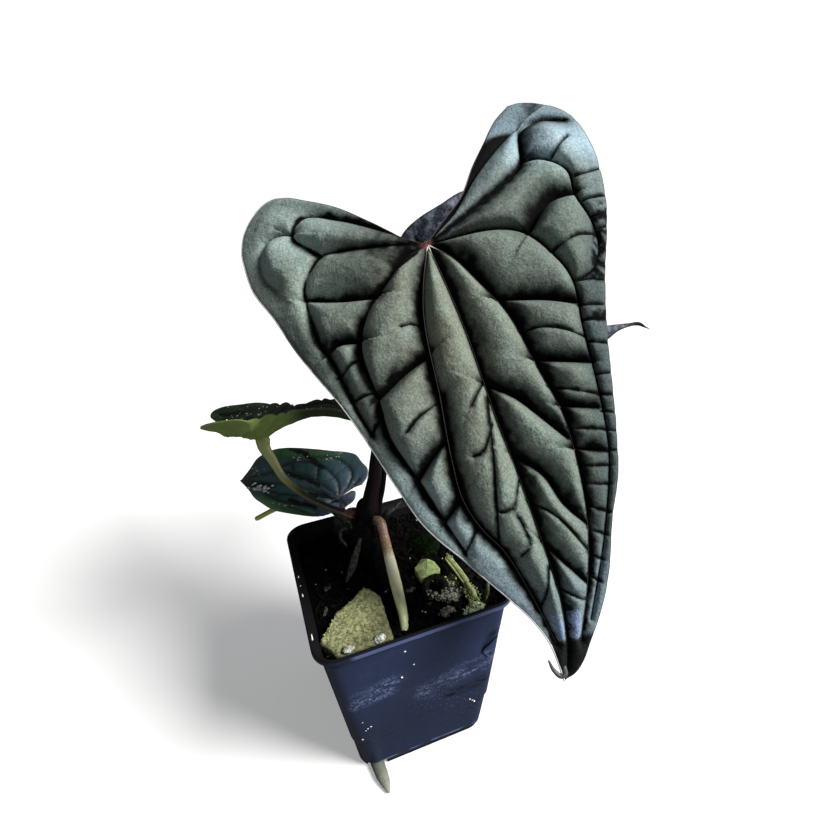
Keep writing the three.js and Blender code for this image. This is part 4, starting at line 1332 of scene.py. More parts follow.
def triangulated(
    loop: np.ndarray, creases: Sequence[np.ndarray], gap: float
) -> tuple[np.ndarray, np.ndarray, np.ndarray]:
    """Fills an outline with even triangles that keep to its creases.

    Args:
        loop: The outline's points.
        creases: Lines that edges follow.
        gap: The size of the triangles.

    Returns:
        The points, the triangles, and where the outline's points went.
    """
    low, high = loop.min(0), loop.max(0)
    us = np.arange(low[0], high[0], gap)
    vs = np.arange(low[1], high[1], gap * 0.866)
    grid = np.stack(np.meshgrid(us, vs), -1)
    grid[1::2, :, 0] += gap / 2
    spots = grid.reshape(-1, 2)
    spots = spots[inside(loop, spots)]
    edge = Vein(np.vstack([loop[::4], loop[:1]]))
    spots = spots[edge.distance(spots)[1] > gap * 0.5]
    points, edges = [loop], [(i, (i + 1) % len(loop)) for i in range(len(loop))]
    count = len(loop)
    for line in creases:
        keep = inside(loop, line) & (edge.distance(line)[1] > gap * 0.6)
        places = np.cumsum(keep) - 1 + count
        edges += [(places[i], places[i + 1]) for i in range(len(line) - 1) if keep[i] and keep[i + 1]]
        points.append(line[keep])
        count += int(keep.sum())
        spots = spots[Vein(line).distance(spots)[1] > gap * 0.45]
    points.append(spots)
    flat = [Vector(p) for p in np.vstack(points).tolist()]
    made, _, faces, origins, _, _ = delaunay_2d_cdt(flat, edges, [], 1, 1e-4)
    rim = np.zeros(len(loop), int)
    for place, ids in enumerate(origins):
        for i in ids:
            if i < len(loop):
                rim[i] = place
    triangles = [face for face in faces if len(face) == 3]
    return np.array([tuple(p) for p in made]), np.array(triangles), rim


@dataclass
class Blade:
    """A leaf blade: an outline and grooves in its plane, and a height out of that plane."""

    name: str
    node: str
    joint: tuple[float, float, float]
    tip: tuple[float, float, float]
    facing: tuple[float, float, float]
    edges: tuple[Path, ...]
    finish: Finish
    slot: Slot
    thickness: float = 1.0
    gap: float = 0.75
    edge_rise: float = 1.1
    veins: list[Vein] = field(default_factory=list)
    fine_veins: list[Vein] = field(default_factory=list)

    @property
    def length(self) -> float:
        """Distance from joint to tip."""
        return (Vector(self.tip) - Vector(self.joint)).length

    def place(self) -> Matrix:
        """Works out how the blade's plane lies.

        Returns:
            Its turn and place.
        """
        along = (Vector(self.tip) - Vector(self.joint)).normalized()
        out = Vector(self.facing)
        out = (out - along * out.dot(along)).normalized()
        turn = Matrix((along, out.cross(along), out)).transposed().to_4x4()
        return Matrix.Translation(self.joint) @ turn

    def outline(self, gap: float) -> np.ndarray:
        """The closed outline at a gap, from the joint round the left side to the tip and back."""
        return np.vstack([spaced(edge, gap)[:-1] for edge in self.edges])

    def rim(self) -> Vein:
        """The outline as a groove."""
        loop = self.outline(2.5)
        return Vein(np.vstack([loop, loop[:1]]), self.edge_rise, self.edge_rise)

    def bend(self, spots: np.ndarray) -> np.ndarray:
        """The broad form of the blade, without its quilting."""
        raise NotImplementedError

    def relief(self, spots: np.ndarray) -> dict[str, np.ndarray]:
        """Height and colour values of the blade."""
        raise NotImplementedError

    def in_space(self, spots: np.ndarray, height: np.ndarray) -> np.ndarray:
        """Takes points of the blade's plane, with a height, into space."""
        local = np.column_stack([spots, height, np.ones(len(spots))])
        return (local @ np.array(self.place()).T)[:, :3]

    def build(self) -> bpy.types.Object:
        """Makes the blade as one closed sheet.

        Returns:
            The dressed piece.
        """
        loop = self.outline(self.gap)
        creases = [spaced(vein.path, self.gap) for vein in [*self.veins, *self.fine_veins]]
        spots, faces, rim = triangulated(loop, creases, self.gap)
        low_spots, low_faces, low_rim = triangulated(loop, [], self.gap * 1.7)
        upper, lower = self.relief(spots), self.relief(low_spots)
        away = self.rim().distance(low_spots)[1]
        clear = self.thickness - 0.45 + 1.5 * (1 - lower["rise"])
        drop = 0.45 + clear * (1 - np.exp(-away / 1.5))
        shape = Shape()
        top = self.in_space(spots, upper.pop("z"))
        shape.add(top, [faces], under=0.0, **upper)
        bottom = self.in_space(low_spots, lower.pop("z") - drop)
        shape.add(bottom, [low_faces[:, ::-1]], under=1.0, **lower)
        a, b = rim, np.roll(rim, -1)
        c, d = low_rim + len(spots), np.roll(low_rim, -1) + len(spots)
        shape.faces.append((np.column_stack([a, c, d, b]), True))
        return dress(shape.build(self.name), self.finish, self.slot, self.node)

    def lines(self, veins: Sequence[Vein], radius: float, lift: float, reach: float) -> Shape:
        """Thin raised lines that lie in the grooves.

        Args:
            veins: The grooves.
            radius: Their radius at the joint; it shrinks with distance.
            lift: How far their middle lies over the groove.
            reach: The distance over which their colour fades.

        Returns:
            The lines.
        """
        shape = Shape()
        for vein in veins:
            line = spaced(vein.path, 1.2)
            away = np.hypot(line[:, 0], line[:, 1])
            route = self.in_space(line, self.relief(line)["z"] + lift)
            radii = radius * (0.38 + 0.62 * np.exp(-away / 40))
            shape.tube(route, radii, 6, len(line) - 1, far=np.minimum(away / reach, 1))
        return shape


@dataclass
class MainLeaf(Blade):
    """The large quilted leaf."""

    arch: float = 9
    lean: float = 9
    depth: float = 10.0
    reach: float = 8.0
    fine_depth: float = 2.2
    fine_reach: float = 2.2

    def bend(self, spots: np.ndarray) -> np.ndarray:
        """An arch from joint to tip, with the sides and lobes leaning back.

        Args:
            spots: Points in the blade's plane.

        Returns:
            Their heights without the quilting.
        """
        u, v = spots[:, 0], spots[:, 1]
        slope = 4 * self.arch * u / self.length
        arch = np.where(u > 0, slope * (1 - u / self.length), slope - self.arch * (u / 60) ** 2)
        return arch - self.lean * (v / 70) ** 2

    def relief(self, spots: np.ndarray) -> dict[str, np.ndarray]:
        """Height and colour values of the blade.

        Args:
            spots: Points in the blade's plane.

        Returns:
            Values by name.
        """
        u, v = spots[:, 0], spots[:, 1]
        away, steep = self.rim().distance(spots)[1], merged(spots, self.veins)
        pillow = 1 - np.exp(-steep / self.reach)
        small = 1 - np.exp(-merged(spots, [*self.veins, *self.fine_veins]) / self.fine_reach)
        left_lobe = ease(v, -26, -48) * ease(u, 24, 4)
        calm = (0.34 + 0.66 * ease(away, 3, 17)) * (1 - 0.3 * left_lobe)
        edge = 1 - 0.5 * np.exp(-away / 3)
        ripple = wobble(spots * [1.0, 0.6], 8, 3) * 0.7 + wobble(spots, 3.2, 8) * 0.22
        quilt = self.depth * pillow * calm + self.fine_depth * small * (1 - 0.6 * left_lobe)
        return {
            "z": self.bend(spots) + (quilt + ripple * pillow) * edge,
            "rise": pillow,
            "dusk": self.dusk(spots, away, steep, left_lobe),
            "joint": np.exp(-np.hypot(u, v) / 4),
            **self.hues(spots, away, pillow, left_lobe),
        }

    def dusk(
        self, spots: np.ndarray, away: np.ndarray, steep: np.ndarray, left_lobe: np.ndarray
    ) -> np.ndarray:
        """Painted shade: how dark the shaded sides of the grooves, the folded edge and the dimples by the
        right margin are.

        Args:
            spots: Points in the blade's plane.
            away: Their distances from the rim.
            steep: Their stretched distances from the main grooves.
            left_lobe: 1 on the left lobe, 0 elsewhere.

        Returns:
            The darkness from 0 to 1.
        """
        u, v = spots[:, 0], spots[:, 1]
        stray = 1.3 * wobble(spots, 5, 21) + 0.5 * wobble(spots, 1.7, 22)
        above = ease(steep - merged(spots + [0.8, 0.0], self.veins), 0.1, 0.6)
        shady = above * ease(u, 22, 10) * ease(u, -32, -20) * ease(v, 8, 16) * ease(v, 62, 50)
        wide = 4.9 - 1.8 * ease(u, 90, 150) - 3.0 * left_lobe - 1.4 * ease(away, 9, 3) + 2.8 * shady
        dark = np.exp(-(np.maximum(merged(spots, self.veins, 2.6) + stray, 0) / wide) ** 1.3)
        dark = dark * (1 - ease(u, -36, -41) * ease(v, 62, 52))
        dark = dark * (1 - 0.6 * ease(v, -55, -62) * ease(u, 8, -4))
        fold = Vein(RIGHT_FOLD.path, 9, 1).distance(spots)[0]
        band = ease(u + 1.6 * wobble(spots, 4, 35), -41, -35) * ease(u, -3, -9)
        band = band * ease(fold, 9.5, 7.5) * ease(v, 4, 8)
        near = np.maximum(merged(spots, self.fine_veins, 1.8) + stray * 0.4, 0)
        crease = np.exp(-(near / 1.5) ** 1.5) * (0.85 - 0.4 * left_lobe)
        ends = np.maximum(ease(u, 2, 8) * ease(u, 40, 34), ease(u, 46, 48) * ease(u, 54, 51))
        dimples = ease(away, 7.5, 4.5) * ease(v, 44, 50) * ease(wobble(spots, 2.6, 33), -0.5, 0.2)
        return np.maximum.reduce([dark, crease, band, 0.75 * dimples * ends])

    def hues(
        self, spots: np.ndarray, away: np.ndarray, pillow: np.ndarray, left_lobe: np.ndarray
    ) -> dict[str, np.ndarray]:
        """Where the blade is painted lighter or darker for light and shade, painted bluer for a reflection,
        browner in the middle, or painted with a shiny reflection.

        Args:
            spots: Points in the blade's plane.
            away: Their distances from the rim.
            pillow: How far they are out of the main grooves.
            left_lobe: 1 on the left lobe, 0 elsewhere.

        Returns:
            Values by name.
        """
        u, v = spots[:, 0], spots[:, 1]
        # The tone: the lower left band, the lobes and the left lobe are painted lighter; the right margin
        # band, the top of the right lobe, the left rim by the base and the right half are painted darker.
        left_band = ease(away, 22, 9) * ease(v, 4, -12) * ease(u, 60, 98) * ease(u, 158, 140)
        right_band = ease(away, 16, 5) * ease(v, 22, 32) * ease(u, 0, 22)
        dim_rim = ease(away, 10, 3) * ease(v, 0, -12) * ease(u, 60, 34)
        lobes = ease(u, -4, -26) * (0.3 + 0.7 * ease(v, 25, 50))
        top = ease(u, -22, -40) * ease(v, 32, 50)
        near_tip = ease(u, 124, 146) * ease(u, 166, 160)
        # A ragged patch near the tip for a painted bluish reflection, which also lowers the roughness there.
        ragged = u + 2.2 * wobble(spots, 3, 31)
        patch = ease(ragged, 149, 152) * ease(ragged, 163, 160) * ease(v, -1, 2) * ease(v, 14, 11)
        # Where the painted blue sheen lies: the lower left band, the lobes, near the tip and by the margins.
        slate = 0.6 * left_band + 0.9 * lobes + 0.6 * near_tip
        painted_light = 0.66 * left_band + 0.4 * left_lobe + 1.1 * lobes
        painted_shade = 0.4 * right_band + 0.9 * top + 0.4 * dim_rim + 0.12 * ease(v, 16, 34) * ease(u, -10, 10)
        return {
            "slate": np.clip(slate + 0.5 * ease(away, 12, 3) * ease(v, -20, 20), 0, 1),
            "olive": np.exp(-(((u - 40) / 60) ** 2) - ((v + 6) / 26) ** 2),
            "tip": ease(u, 160.5, 163),
            "shine": patch * pillow,
            "tone": 1 + painted_light - painted_shade,
        }


@dataclass
class SmallBlade(Blade):
    """One of the three smaller leaves, folded along its midrib."""

    left: float = 20
    right: float = 20
    lobes: float = 1.0
    fold: float = 0.3
    arch: float = 5
    lobe_rise: float = 2
    depth: float = 1.3
    reach: float = 1.8
    bumps: float = 0.3
    gap: float = 0.8
    thickness: float = 0.9
    pockets: tuple[Path, ...] = ()

    def __post_init__(self) -> None:
        """Draws the net of veins from the shared half net."""
        length = self.length
        self.veins = [Vein([(0, 0), (length * 0.5, 0), (length * 0.97, 0)], 1, 1)]
        pairs = ((HALF_NET, self.veins), (HALF_CROSS, self.fine_veins))
        for side in (-self.left, self.right):
            for path, veins in ((path, veins) for net, veins in pairs for path in net):
                drawn = [(u * length * (self.lobes if u < 0 else 1), v * side) for u, v in path]
                veins.append(Vein(drawn, 1, 1))

    def bend(self, spots: np.ndarray) -> np.ndarray:
        """An arch from joint to tip and a fold along the midrib.

        Args:
            spots: Points in the blade's plane.

        Returns:
            Their heights without the quilting.
        """
        u, v = spots[:, 0], spots[:, 1]
        share = u / self.length
        arch = np.where(u > 0, 4 * self.arch * share * (1 - share), -self.lobe_rise * share)
        return arch + self.fold * (np.hypot(v, 3) - 3)

    def relief(self, spots: np.ndarray) -> dict[str, np.ndarray]:
        """Height and colour values of the blade.

        Args:
            spots: Points in the blade's plane.

        Returns:
            Values by name.
        """
        pillow = 1 - np.exp(-merged(spots, self.veins) / self.reach)
        small = 1 - np.exp(-merged(spots, [*self.veins, *self.fine_veins]) / 1.1)
        away = self.rim().distance(spots)[1]
        rough = wobble(spots, 5, len(self.name)) * self.bumps * np.minimum(away / 3, 1)
        hole = np.full(len(spots), 30.0)
        for path in self.pockets:
            hole = np.minimum(hole, Vein(path).distance(spots)[1])
        u, v = spots[:, 0] / self.length, spots[:, 1]
        wide = np.where(v < 0, -self.left, self.right)
        return {
            "pocket": np.exp(-((np.maximum(hole + 0.8 * wobble(spots, 2, 6), 0) / 1.4) ** 2)),
            "margin": v / wide * (0.8 + 0.4 * u),
            "lobe": ease(u, 0.3, -0.1),
            "along": ease(u, 0.2, 0.42),
            "lilac": ease(u, 0.14, -0.02) * ease(v, -6, -1),
            "z": self.bend(spots) + self.depth * pillow + 0.45 * small + rough,
            "rise": pillow * (0.5 + 0.5 * small),
            "edge": np.exp(-away / 0.7),
            "tip": ease(spots[:, 0], self.length * 0.84, self.length * 0.93),
        }


HALF_NET = (
    ((0, 0), (0.25, 0.24), (0.5, 0.34), (0.74, 0.26), (0.93, 0.06)),
    ((0, 0), (0.06, 0.34), (0.28, 0.62), (0.54, 0.56), (0.78, 0.2)),
    ((0, 0), (-0.12, 0.36), (-0.08, 0.64), (0.12, 0.84), (0.36, 0.76)),
    ((0, 0), (-0.18, 0.26), (-0.27, 0.46)), ((0.25, 0.24), (0.28, 0.62)), ((0.5, 0.34), (0.54, 0.56)),
)
HALF_CROSS = (
    ((0.16, 0.0), (0.25, 0.24)), ((0.38, 0.0), (0.5, 0.34)), ((0.58, 0.0), (0.7, 0.26)),
    ((0.1, 0.4), (0.2, 0.22)), ((0.4, 0.62), (0.38, 0.3)), ((0.64, 0.46), (0.64, 0.32)),
    ((0.0, 0.74), (0.1, 0.44)), ((0.28, 0.8), (0.26, 0.62)), ((-0.12, 0.5), (-0.22, 0.4)),
    ((0.45, 0.58), (0.5, 0.72)),
)

MAIN_EDGES = (
    ((0, 0), (-5.5, -7.5), (-10.5, -12), (-21, -21.5), (-31.5, -31.5), (-44.5, -47), (-49, -53)),
    (
        (-49, -53), (-52.5, -60.5), (-52.5, -66.5), (-48, -74), (-41.5, -79), (-32.5, -81.5),
        (-23, -81), (-11, -79), (6.5, -71), (26, -63.5), (50.5, -52), (69.5, -45), (92, -38),
        (106, -33), (124, -21.5), (139.5, -11.5), (151.5, -4.8), (163, -1.2), (177, -0.4),
    ),
    (
        (177, -0.4), (176, 3.5), (172, 8), (163, 14.5), (153, 21), (141.5, 27), (123, 34),
        (106.5, 41.5), (88.5, 46.5), (59, 53.5), (36.5, 60.5), (21, 67), (4, 73), (-17.5, 76.5),
        (-38.5, 75), (-48, 67), (-53, 57), (-53, 51.5),
    ),
    ((-53, 51.5), (-46.5, 43.5), (-36, 35), (-27.5, 28), (-15, 19), (-8.5, 11), (0, 0)),
)
MIDRIB = Vein(
    (
        (1, 0.5), (22.5, 3), (44, 4.5), (69.5, 5), (97.5, 6.5), (126, 7.5), (146, 7.5), (162.5, 5),
        (174, 1.5),
    ),
    2.6, 1,
)
LEFT_UPPER = Vein(((1.5, 0), (18, -6.5), (32, -10), (60, -12.5)), 1.1, 2)
LEFT_FIRST = Vein(
    ((60, -12.5), (85, -15.5), (100.5, -16), (113, -12.5), (123.5, -7), (144, -2), (162.5, 1)), 1.1, 1.1
)
RIGHT_FIRST = Vein(
    (
        (1, 1), (9, 8), (23, 15), (38.5, 21.5), (61.5, 25.5), (81, 29), (99, 28.5), (121, 25.5),
        (142.5, 19), (164, 10),
    ),
    2.6, 1,
)
RIGHT_SECOND = Vein(
    (
        (0.5, 2), (2, 15.5), (4.5, 29), (9.5, 38), (22.5, 46), (33, 49), (52.5, 46.5), (76, 44.5),
        (98.5, 41), (126.5, 30.5), (157, 16),
    ),
    2, 2.6,
)
LEFT_SECOND = Vein(
    (
        (0, -1), (2.5, -9.5), (10, -19), (19.5, -30.5), (32.5, -37), (54.5, -36), (70, -36), (89, -30),
        (107, -25), (120, -21),
    ),
    1.2, 2.2,
)
LEFT_THIRD = Vein(
    (
        (-0.5, -1), (-3.5, -9), (-10.5, -33), (-12.5, -43.5), (-3, -54), (10, -55), (24, -54),
        (35.5, -50), (52, -47), (67, -43),
    ),
    2, 1.2,
)
LEFT_LOBE = Vein(
    ((-1.5, -2), (-13.5, -16.5), (-25.5, -32), (-34.5, -48), (-28.5, -54.5), (-13, -43.5)), 1, 2
)
RIGHT_LOBE = Vein(
    ((-0.5, 2), (-8.5, 23), (-20.5, 45.5), (-29, 48.5), (-37.5, 51.5), (-41, 60.5), (-38.5, 71.5)), 1, 2
)
RIGHT_LOOP = Vein(
    (
        (-21.5, 46), (-20, 54.5), (-11.5, 63), (-1, 62), (11.5, 64.5), (24, 63), (31.5, 57.5),
        (34, 49.5),
    ),
    2, 2,
)
RIGHT_FOLD = Vein(((-0.5, 1.5), (-8.5, 13.5), (-22, 27), (-33.5, 41.5), (-39, 51)), 2.6, 0.5)
LEFT_OUTER = Vein(
    ((-28.5, -54.5), (-31.5, -60.5), (-31, -67.5), (-25.5, -72.5), (-15, -72.5), (-6, -67)), 1, 2
)
MAIN_VEINS = [
    MIDRIB, LEFT_UPPER, LEFT_FIRST, RIGHT_FIRST, RIGHT_SECOND, LEFT_SECOND, LEFT_THIRD, LEFT_LOBE,
    RIGHT_LOBE, RIGHT_LOOP, RIGHT_FOLD, LEFT_OUTER,
]
CROSS_VEINS = (
    ((44.5, -12), (48.5, -23.5), (54.5, -36)), ((78, -15.5), (80.5, -20), (89, -30)),
    ((100, -16.5), (107, -25)), ((4, -55.5), (11, -38.5), (15, -25)),
    ((30, -51), (28, -45.5), (30, -36.5)), ((62, 5), (69.5, 14), (78, 20), (89.5, 27.5)),
    ((91, 7.5), (99.5, 15), (112, 19), (122.5, 25)), ((123, 7), (133.5, 13), (143.5, 18.5)),
    ((32, 19), (37.5, 36.5), (42, 46.5)), ((58.5, 25), (65.5, 45)), ((77.5, 28.5), (82.5, 42)),
    ((94, 28.5), (99, 40.5)), ((-1, 62), (0, 50.5), (9.5, 40)),
)
FINE_VEINS = (
    ((-30, -55.5), (-35.5, -62)), ((17.5, 62.5), (18, 55.5), (20.5, 45)), ((-19, 59), (-27, 68.5)),
    ((33.5, -11), (31, -14.5), (31, -18.5)), ((62, -12.5), (66.5, -22.5), (70, -27.5)),
    ((111.5, -13.5), (120, -21)), ((36.5, -38), (41, -49.5)), ((51, -35.5), (52, -47)),
    ((61, -36), (67, -43)), ((66.5, 4.5), (89.5, -0.5), (118.5, -7.5)), ((61, 4.5), (68, -2)),
    ((77, 3), (85.5, -3.5), (86, -7)), ((99.5, 6), (108, 0.5), (108, -4)),
    ((111.5, 2), (122, 3), (125.5, -1)), ((133, 7), (144, 2), (148, -1)),
    ((107.5, 6.5), (114, 14), (131.5, 22.5)), ((141, 7.5), (149.5, 16.5)),
    ((47, 23.5), (48, 31), (55.5, 45.5)), ((69.5, 26.5), (77.5, 43.5)), ((86, 28.5), (90.5, 41)),
    ((100.5, 28.5), (104, 39.5)), ((107, 28), (110.5, 37)), ((115.5, 27), (120.5, 34)),
    ((123.5, 24.5), (128, 30.5)), ((132.5, 22), (136.5, 26.5)), ((140, 19.5), (144, 23)),
    ((34, 49.5), (35, 55.5), (37, 60.5)), ((43.5, 47), (46, 57)), ((49.5, 47), (51.5, 55.5)),
    ((58, 46.5), (60.5, 53)), ((70.5, 45), (71.5, 51)), ((78, 43.5), (79.5, 49)),
    ((84, 42.5), (86, 47.5)), ((91, 41.5), (92.5, 46)), ((98.5, 41), (99.5, 44.5)),
    ((-8, 65), (-9.5, 77)), ((3, 64), (3, 74)), ((10.5, 64.5), (10.5, 71.5)), ((15.5, 64), (16, 69)),
    ((24, 63), (24.5, 65.5)), ((29.5, 61), (30.5, 63.5)),
)
BACK_EDGES = (
    ((0, 0), (-9, -5), (-21, -11), (-29, -18)),
    (
        (-29, -18), (-33, -25), (-29.5, -35), (-20, -44), (-5, -50), (15, -49), (36, -41), (55, -28.5),
        (66, -19.5), (74.5, -12), (80, -6), (85, -2.6), (91.5, 0.2), (98, -0.6),
    ),
    (
        (98, -0.6), (91.5, 1.6), (85, -0.4), (78, -3), (72, -4.6), (65, -0.5), (56, 13), (42, 33),
        (24, 49), (8, 55.5), (-6.5, 51.8), (-16.5, 43.4), (-25.5, 35.4), (-31.5, 27.8), (-33, 22.5),
        (-28.5, 17),
    ),
    ((-28.5, 17), (-21, 11), (-9, 5), (0, 0)),
)
LEFT_EDGES = (
    ((0, 0), (-6, -3.5), (-14, -7), (-22, -9.5)),
    (
        (-22, -9.5), (-24.5, -12.5), (-21.5, -15.8), (-11, -20), (-3, -21), (5.5, -16), (12.5, -10.5),
        (20.5, -7.4), (30, -6.6), (40.5, -6.4), (50, -3.8), (56.6, 0),
    ),
    (
        (56.6, 0), (51, 4.5), (44, 8.5), (38, 10.4), (33, 10.8), (27.5, 9.8), (21.5, 8.6), (17, 9.6),
        (12.8, 13.5), (7, 18), (0, 23.6), (-7, 25), (-16, 23.8), (-25, 22), (-29, 19), (-29.5, 15.5),
        (-26, 12),
    ),
    ((-26, 12), (-16, 9), (-7, 5), (0, 0)),
)
SMALL_EDGES = (
    ((0, 0), (-4.7, -5.2), (-10.5, -8.2)),
    (
        (-10.5, -8.2), (-12.2, -12.3), (-11.5, -16.7), (-7.2, -20.1), (-2, -24), (11.6, -22.9),
        (22.8, -21.7), (37, -20), (43.6, -18.1), (50.8, -12.9), (53.1, -6.4), (56.2, 0.4),
    ),
    (
        (56.2, 0.4), (52, 3.5), (46.3, 8.1), (39.5, 14), (34.3, 16.8), (28.2, 19.7), (23.3, 20.7),
        (14.7, 20.3), (7.6, 18.9), (2.7, 15.8), (-2.2, 11.4), (-5.7, 6.6), (-8.4, 3), (-9, -1),
        (-8, -4), (-5.6, -4.2),
    ),
    ((-5.6, -4.2), (-2.8, -2), (0, 0)),
)
LEFT_POCKETS = (
    ((-20, -12), (-12, -9), (-4, -11)), ((-16, 11), (-4, 13), (4, 10)), ((0, -5), (10, -7)),
    ((14, 5), (24, 4), (30, 6)), ((26, -4), (36, -3)), ((-24, 16), (-14, 18)), ((40, 4), (48, 1)),
)
SMALL_POCKETS = (
    ((34.9, -20.8), (24.4, -18.5), (13, -13.1)), ((30.2, -6.4), (22, -5.6), (12.7, -3.5)),
    ((14.7, 3.1), (7.6, 1.7), (-1.1, 3)), ((47.6, 3), (42, 1.8), (35, 3)),
    ((22, 10.5), (14, 11.5), (8, 12)),
)


@dataclass
class Leaves:
    """The four blades of the plant."""

    main: MainLeaf = field(
        default_factory=lambda: MainLeaf(
            "leaf_main_blade", "leaf_main", (33, 18, 239.5), (44.1, -80.6, 92),
            (-0.388, -0.78, 0.492), MAIN_EDGES, VELVET, Slot.VELVET, gap=0.62,
            veins=[*MAIN_VEINS, *(rung(path) for path in CROSS_VEINS)],
            fine_veins=[rung(path) for path in FINE_VEINS], edge_rise=1.8,
        )
    )
    back: SmallBlade = field(
        default_factory=lambda: SmallBlade(
            "leaf_back_blade", "leaf_back", (61, 52, 207), (148, 14, 186), (-0.3, -0.75, 0.55),
            BACK_EDGES, SLATE, Slot.SLATE, left=50, right=56, fold=0.05, arch=8, lobe_rise=-6,
            bumps=0.6,
        )
    )
    left: SmallBlade = field(
        default_factory=lambda: SmallBlade(
            "leaf_left_blade", "leaf_left", (-45.6, 54, 150.8), (8.7, 37.8, 151.2), (0.1, 0.32, 0.94),
            LEFT_EDGES, GREEN_FACE, Slot.GREEN_LEAF, left=20, right=22, fold=0.6, arch=10.5,
            lobe_rise=4, gap=0.6, pockets=LEFT_POCKETS,
        )
    )
    small: SmallBlade = field(
        default_factory=lambda: SmallBlade(
            "leaf_small_blade", "leaf_small", (-14.6, 40.9, 113.5), (-62.1, 71.4, 118.7),
            (-0.14, -0.22, 0.97), SMALL_EDGES, TEAL, Slot.TEAL, left=24, right=20, lobes=0.5,
            fold=0.32, arch=2.5, lobe_rise=2, gap=0.6, pockets=SMALL_POCKETS,
        )
    )

    def build(self) -> None:
        """Makes the four blades, their vein lines and rims, and white lumps for the glints of water on the
        small one and the left one.
        """
        for blade in (self.main, self.back, self.left, self.small):
            blade.build()
        # Pale vein lines in the main grooves, partly their own pale colour and partly a painted highlight,
        # fading with distance from the joint.
        lines = self.main.lines(MAIN_VEINS[:4], 0.34, 0.25, 140)
        dress(lines.build("leaf_main_veins"), PALE_VEIN, Slot.VELVET)
        rim = Shape()
        for edge in self.main.edges:
            line = spaced(edge, 1.2)
            route = self.main.in_space(line, self.main.relief(line)["z"] - 0.2)
            # Painted highlight: the lower left edge is pale and thicker; the others are dark.
            pale = edge == MAIN_EDGES[1]
            rim.tube(route, [0.4 if pale else 0.26], 6, len(line) - 1, far=float(not pale))
        dress(rim.build("leaf_main_rim"), RIM_HIGHLIGHT, Slot.VELVET)
        dress(self.hook().build("leaf_main_hook"), HOOK, Slot.VELVET)
        dress(self.wet_glints().build("leaf_small_wet_glints"), WET_GLINT, Slot.TEAL)

    def hook(self) -> Shape:
        """The tiny hook at the drip tip of the large leaf.

        Returns:
            The hook.
        """
        flat = np.array([(172.4, 1), (174.8, 0.6), (175.2, -1.2), (172.4, -3.1), (168.6, -3.8)])
        seat = self.main.relief(np.array([(177, -0.4)]))["z"][0] - 0.5
        route = self.main.in_space(flat, seat + np.array([0, 0, 0, 0, 0.4]))
        return Shape().tube(route, [0.9, 1.1, 0.9, 0.7, 0.4], 10, 20)

    def wet_glints(self) -> Shape:
        """White lumps for wet specks on the small leaf and glints on the left one: painted highlights.

        Returns:
            The specks.
        """
        shape = Shape()
        draw = np.random.default_rng(21)
        groups = [
            (self.small, (42, 4.8), (3.6, 1.7), 34, 1.5), (self.small, (27.5, -16), (1.6, 1), 8, 0.9),
            (self.small, (11.3, -18.5), (1, 1), 5, 1), (self.small, (7, -22), (1.6, 1.6), 8, 0.8),
            (self.small, (48.5, -6), (2.6, 2.6), 10, 0.7), (self.small, (25, 0), (14, 9), 14, 0.5),
            (self.small, (27, 15.5), (6, 0.8), 9, 0.7), (self.left, (20, -4), (15, 4), 50, 0.7),
            (self.left, (-12, -12), (6, 4), 30, 0.8), (self.left, (-10, 14), (8, 5), 40, 0.8),
        ]
        for blade, middle, spread, count, size in groups:
            spots = np.array(middle) + draw.normal(size=(count, 2)) * spread
            spots = spots[inside(blade.outline(2), spots)]
            places = blade.in_space(spots, blade.relief(spots)["z"] + 0.1)
            for k, place in enumerate(places):
                wide = size * draw.uniform(0.5, 1.3)
                shape.lump((wide, wide * 0.8, 0.5 * wide), place, k, 1, 0.1)
        return shape


# Stems, petioles and roots


def lobed(count: int, depth: float, bumps: float = 0.0, seed: int = 0) -> Callable:
    """Makes a relief of ridges round a stalk, with bumps along it.

    Args:
        count: How many ridges.
        depth: How deep they are, as a share.
        bumps: How far bumps stand out, as a share.
        seed: Which bumps.

    Returns:
        The relief for Shape.tube.
    """

    def relief(share: np.ndarray, angle: np.ndarray) -> np.ndarray:
        """The factor on the radius."""
        around = np.column_stack([np.cos(angle), np.sin(angle), share * 14])
        return 1 + depth * np.cos(count * angle) + bumps * wobble(around, 1.6, seed)

    return relief


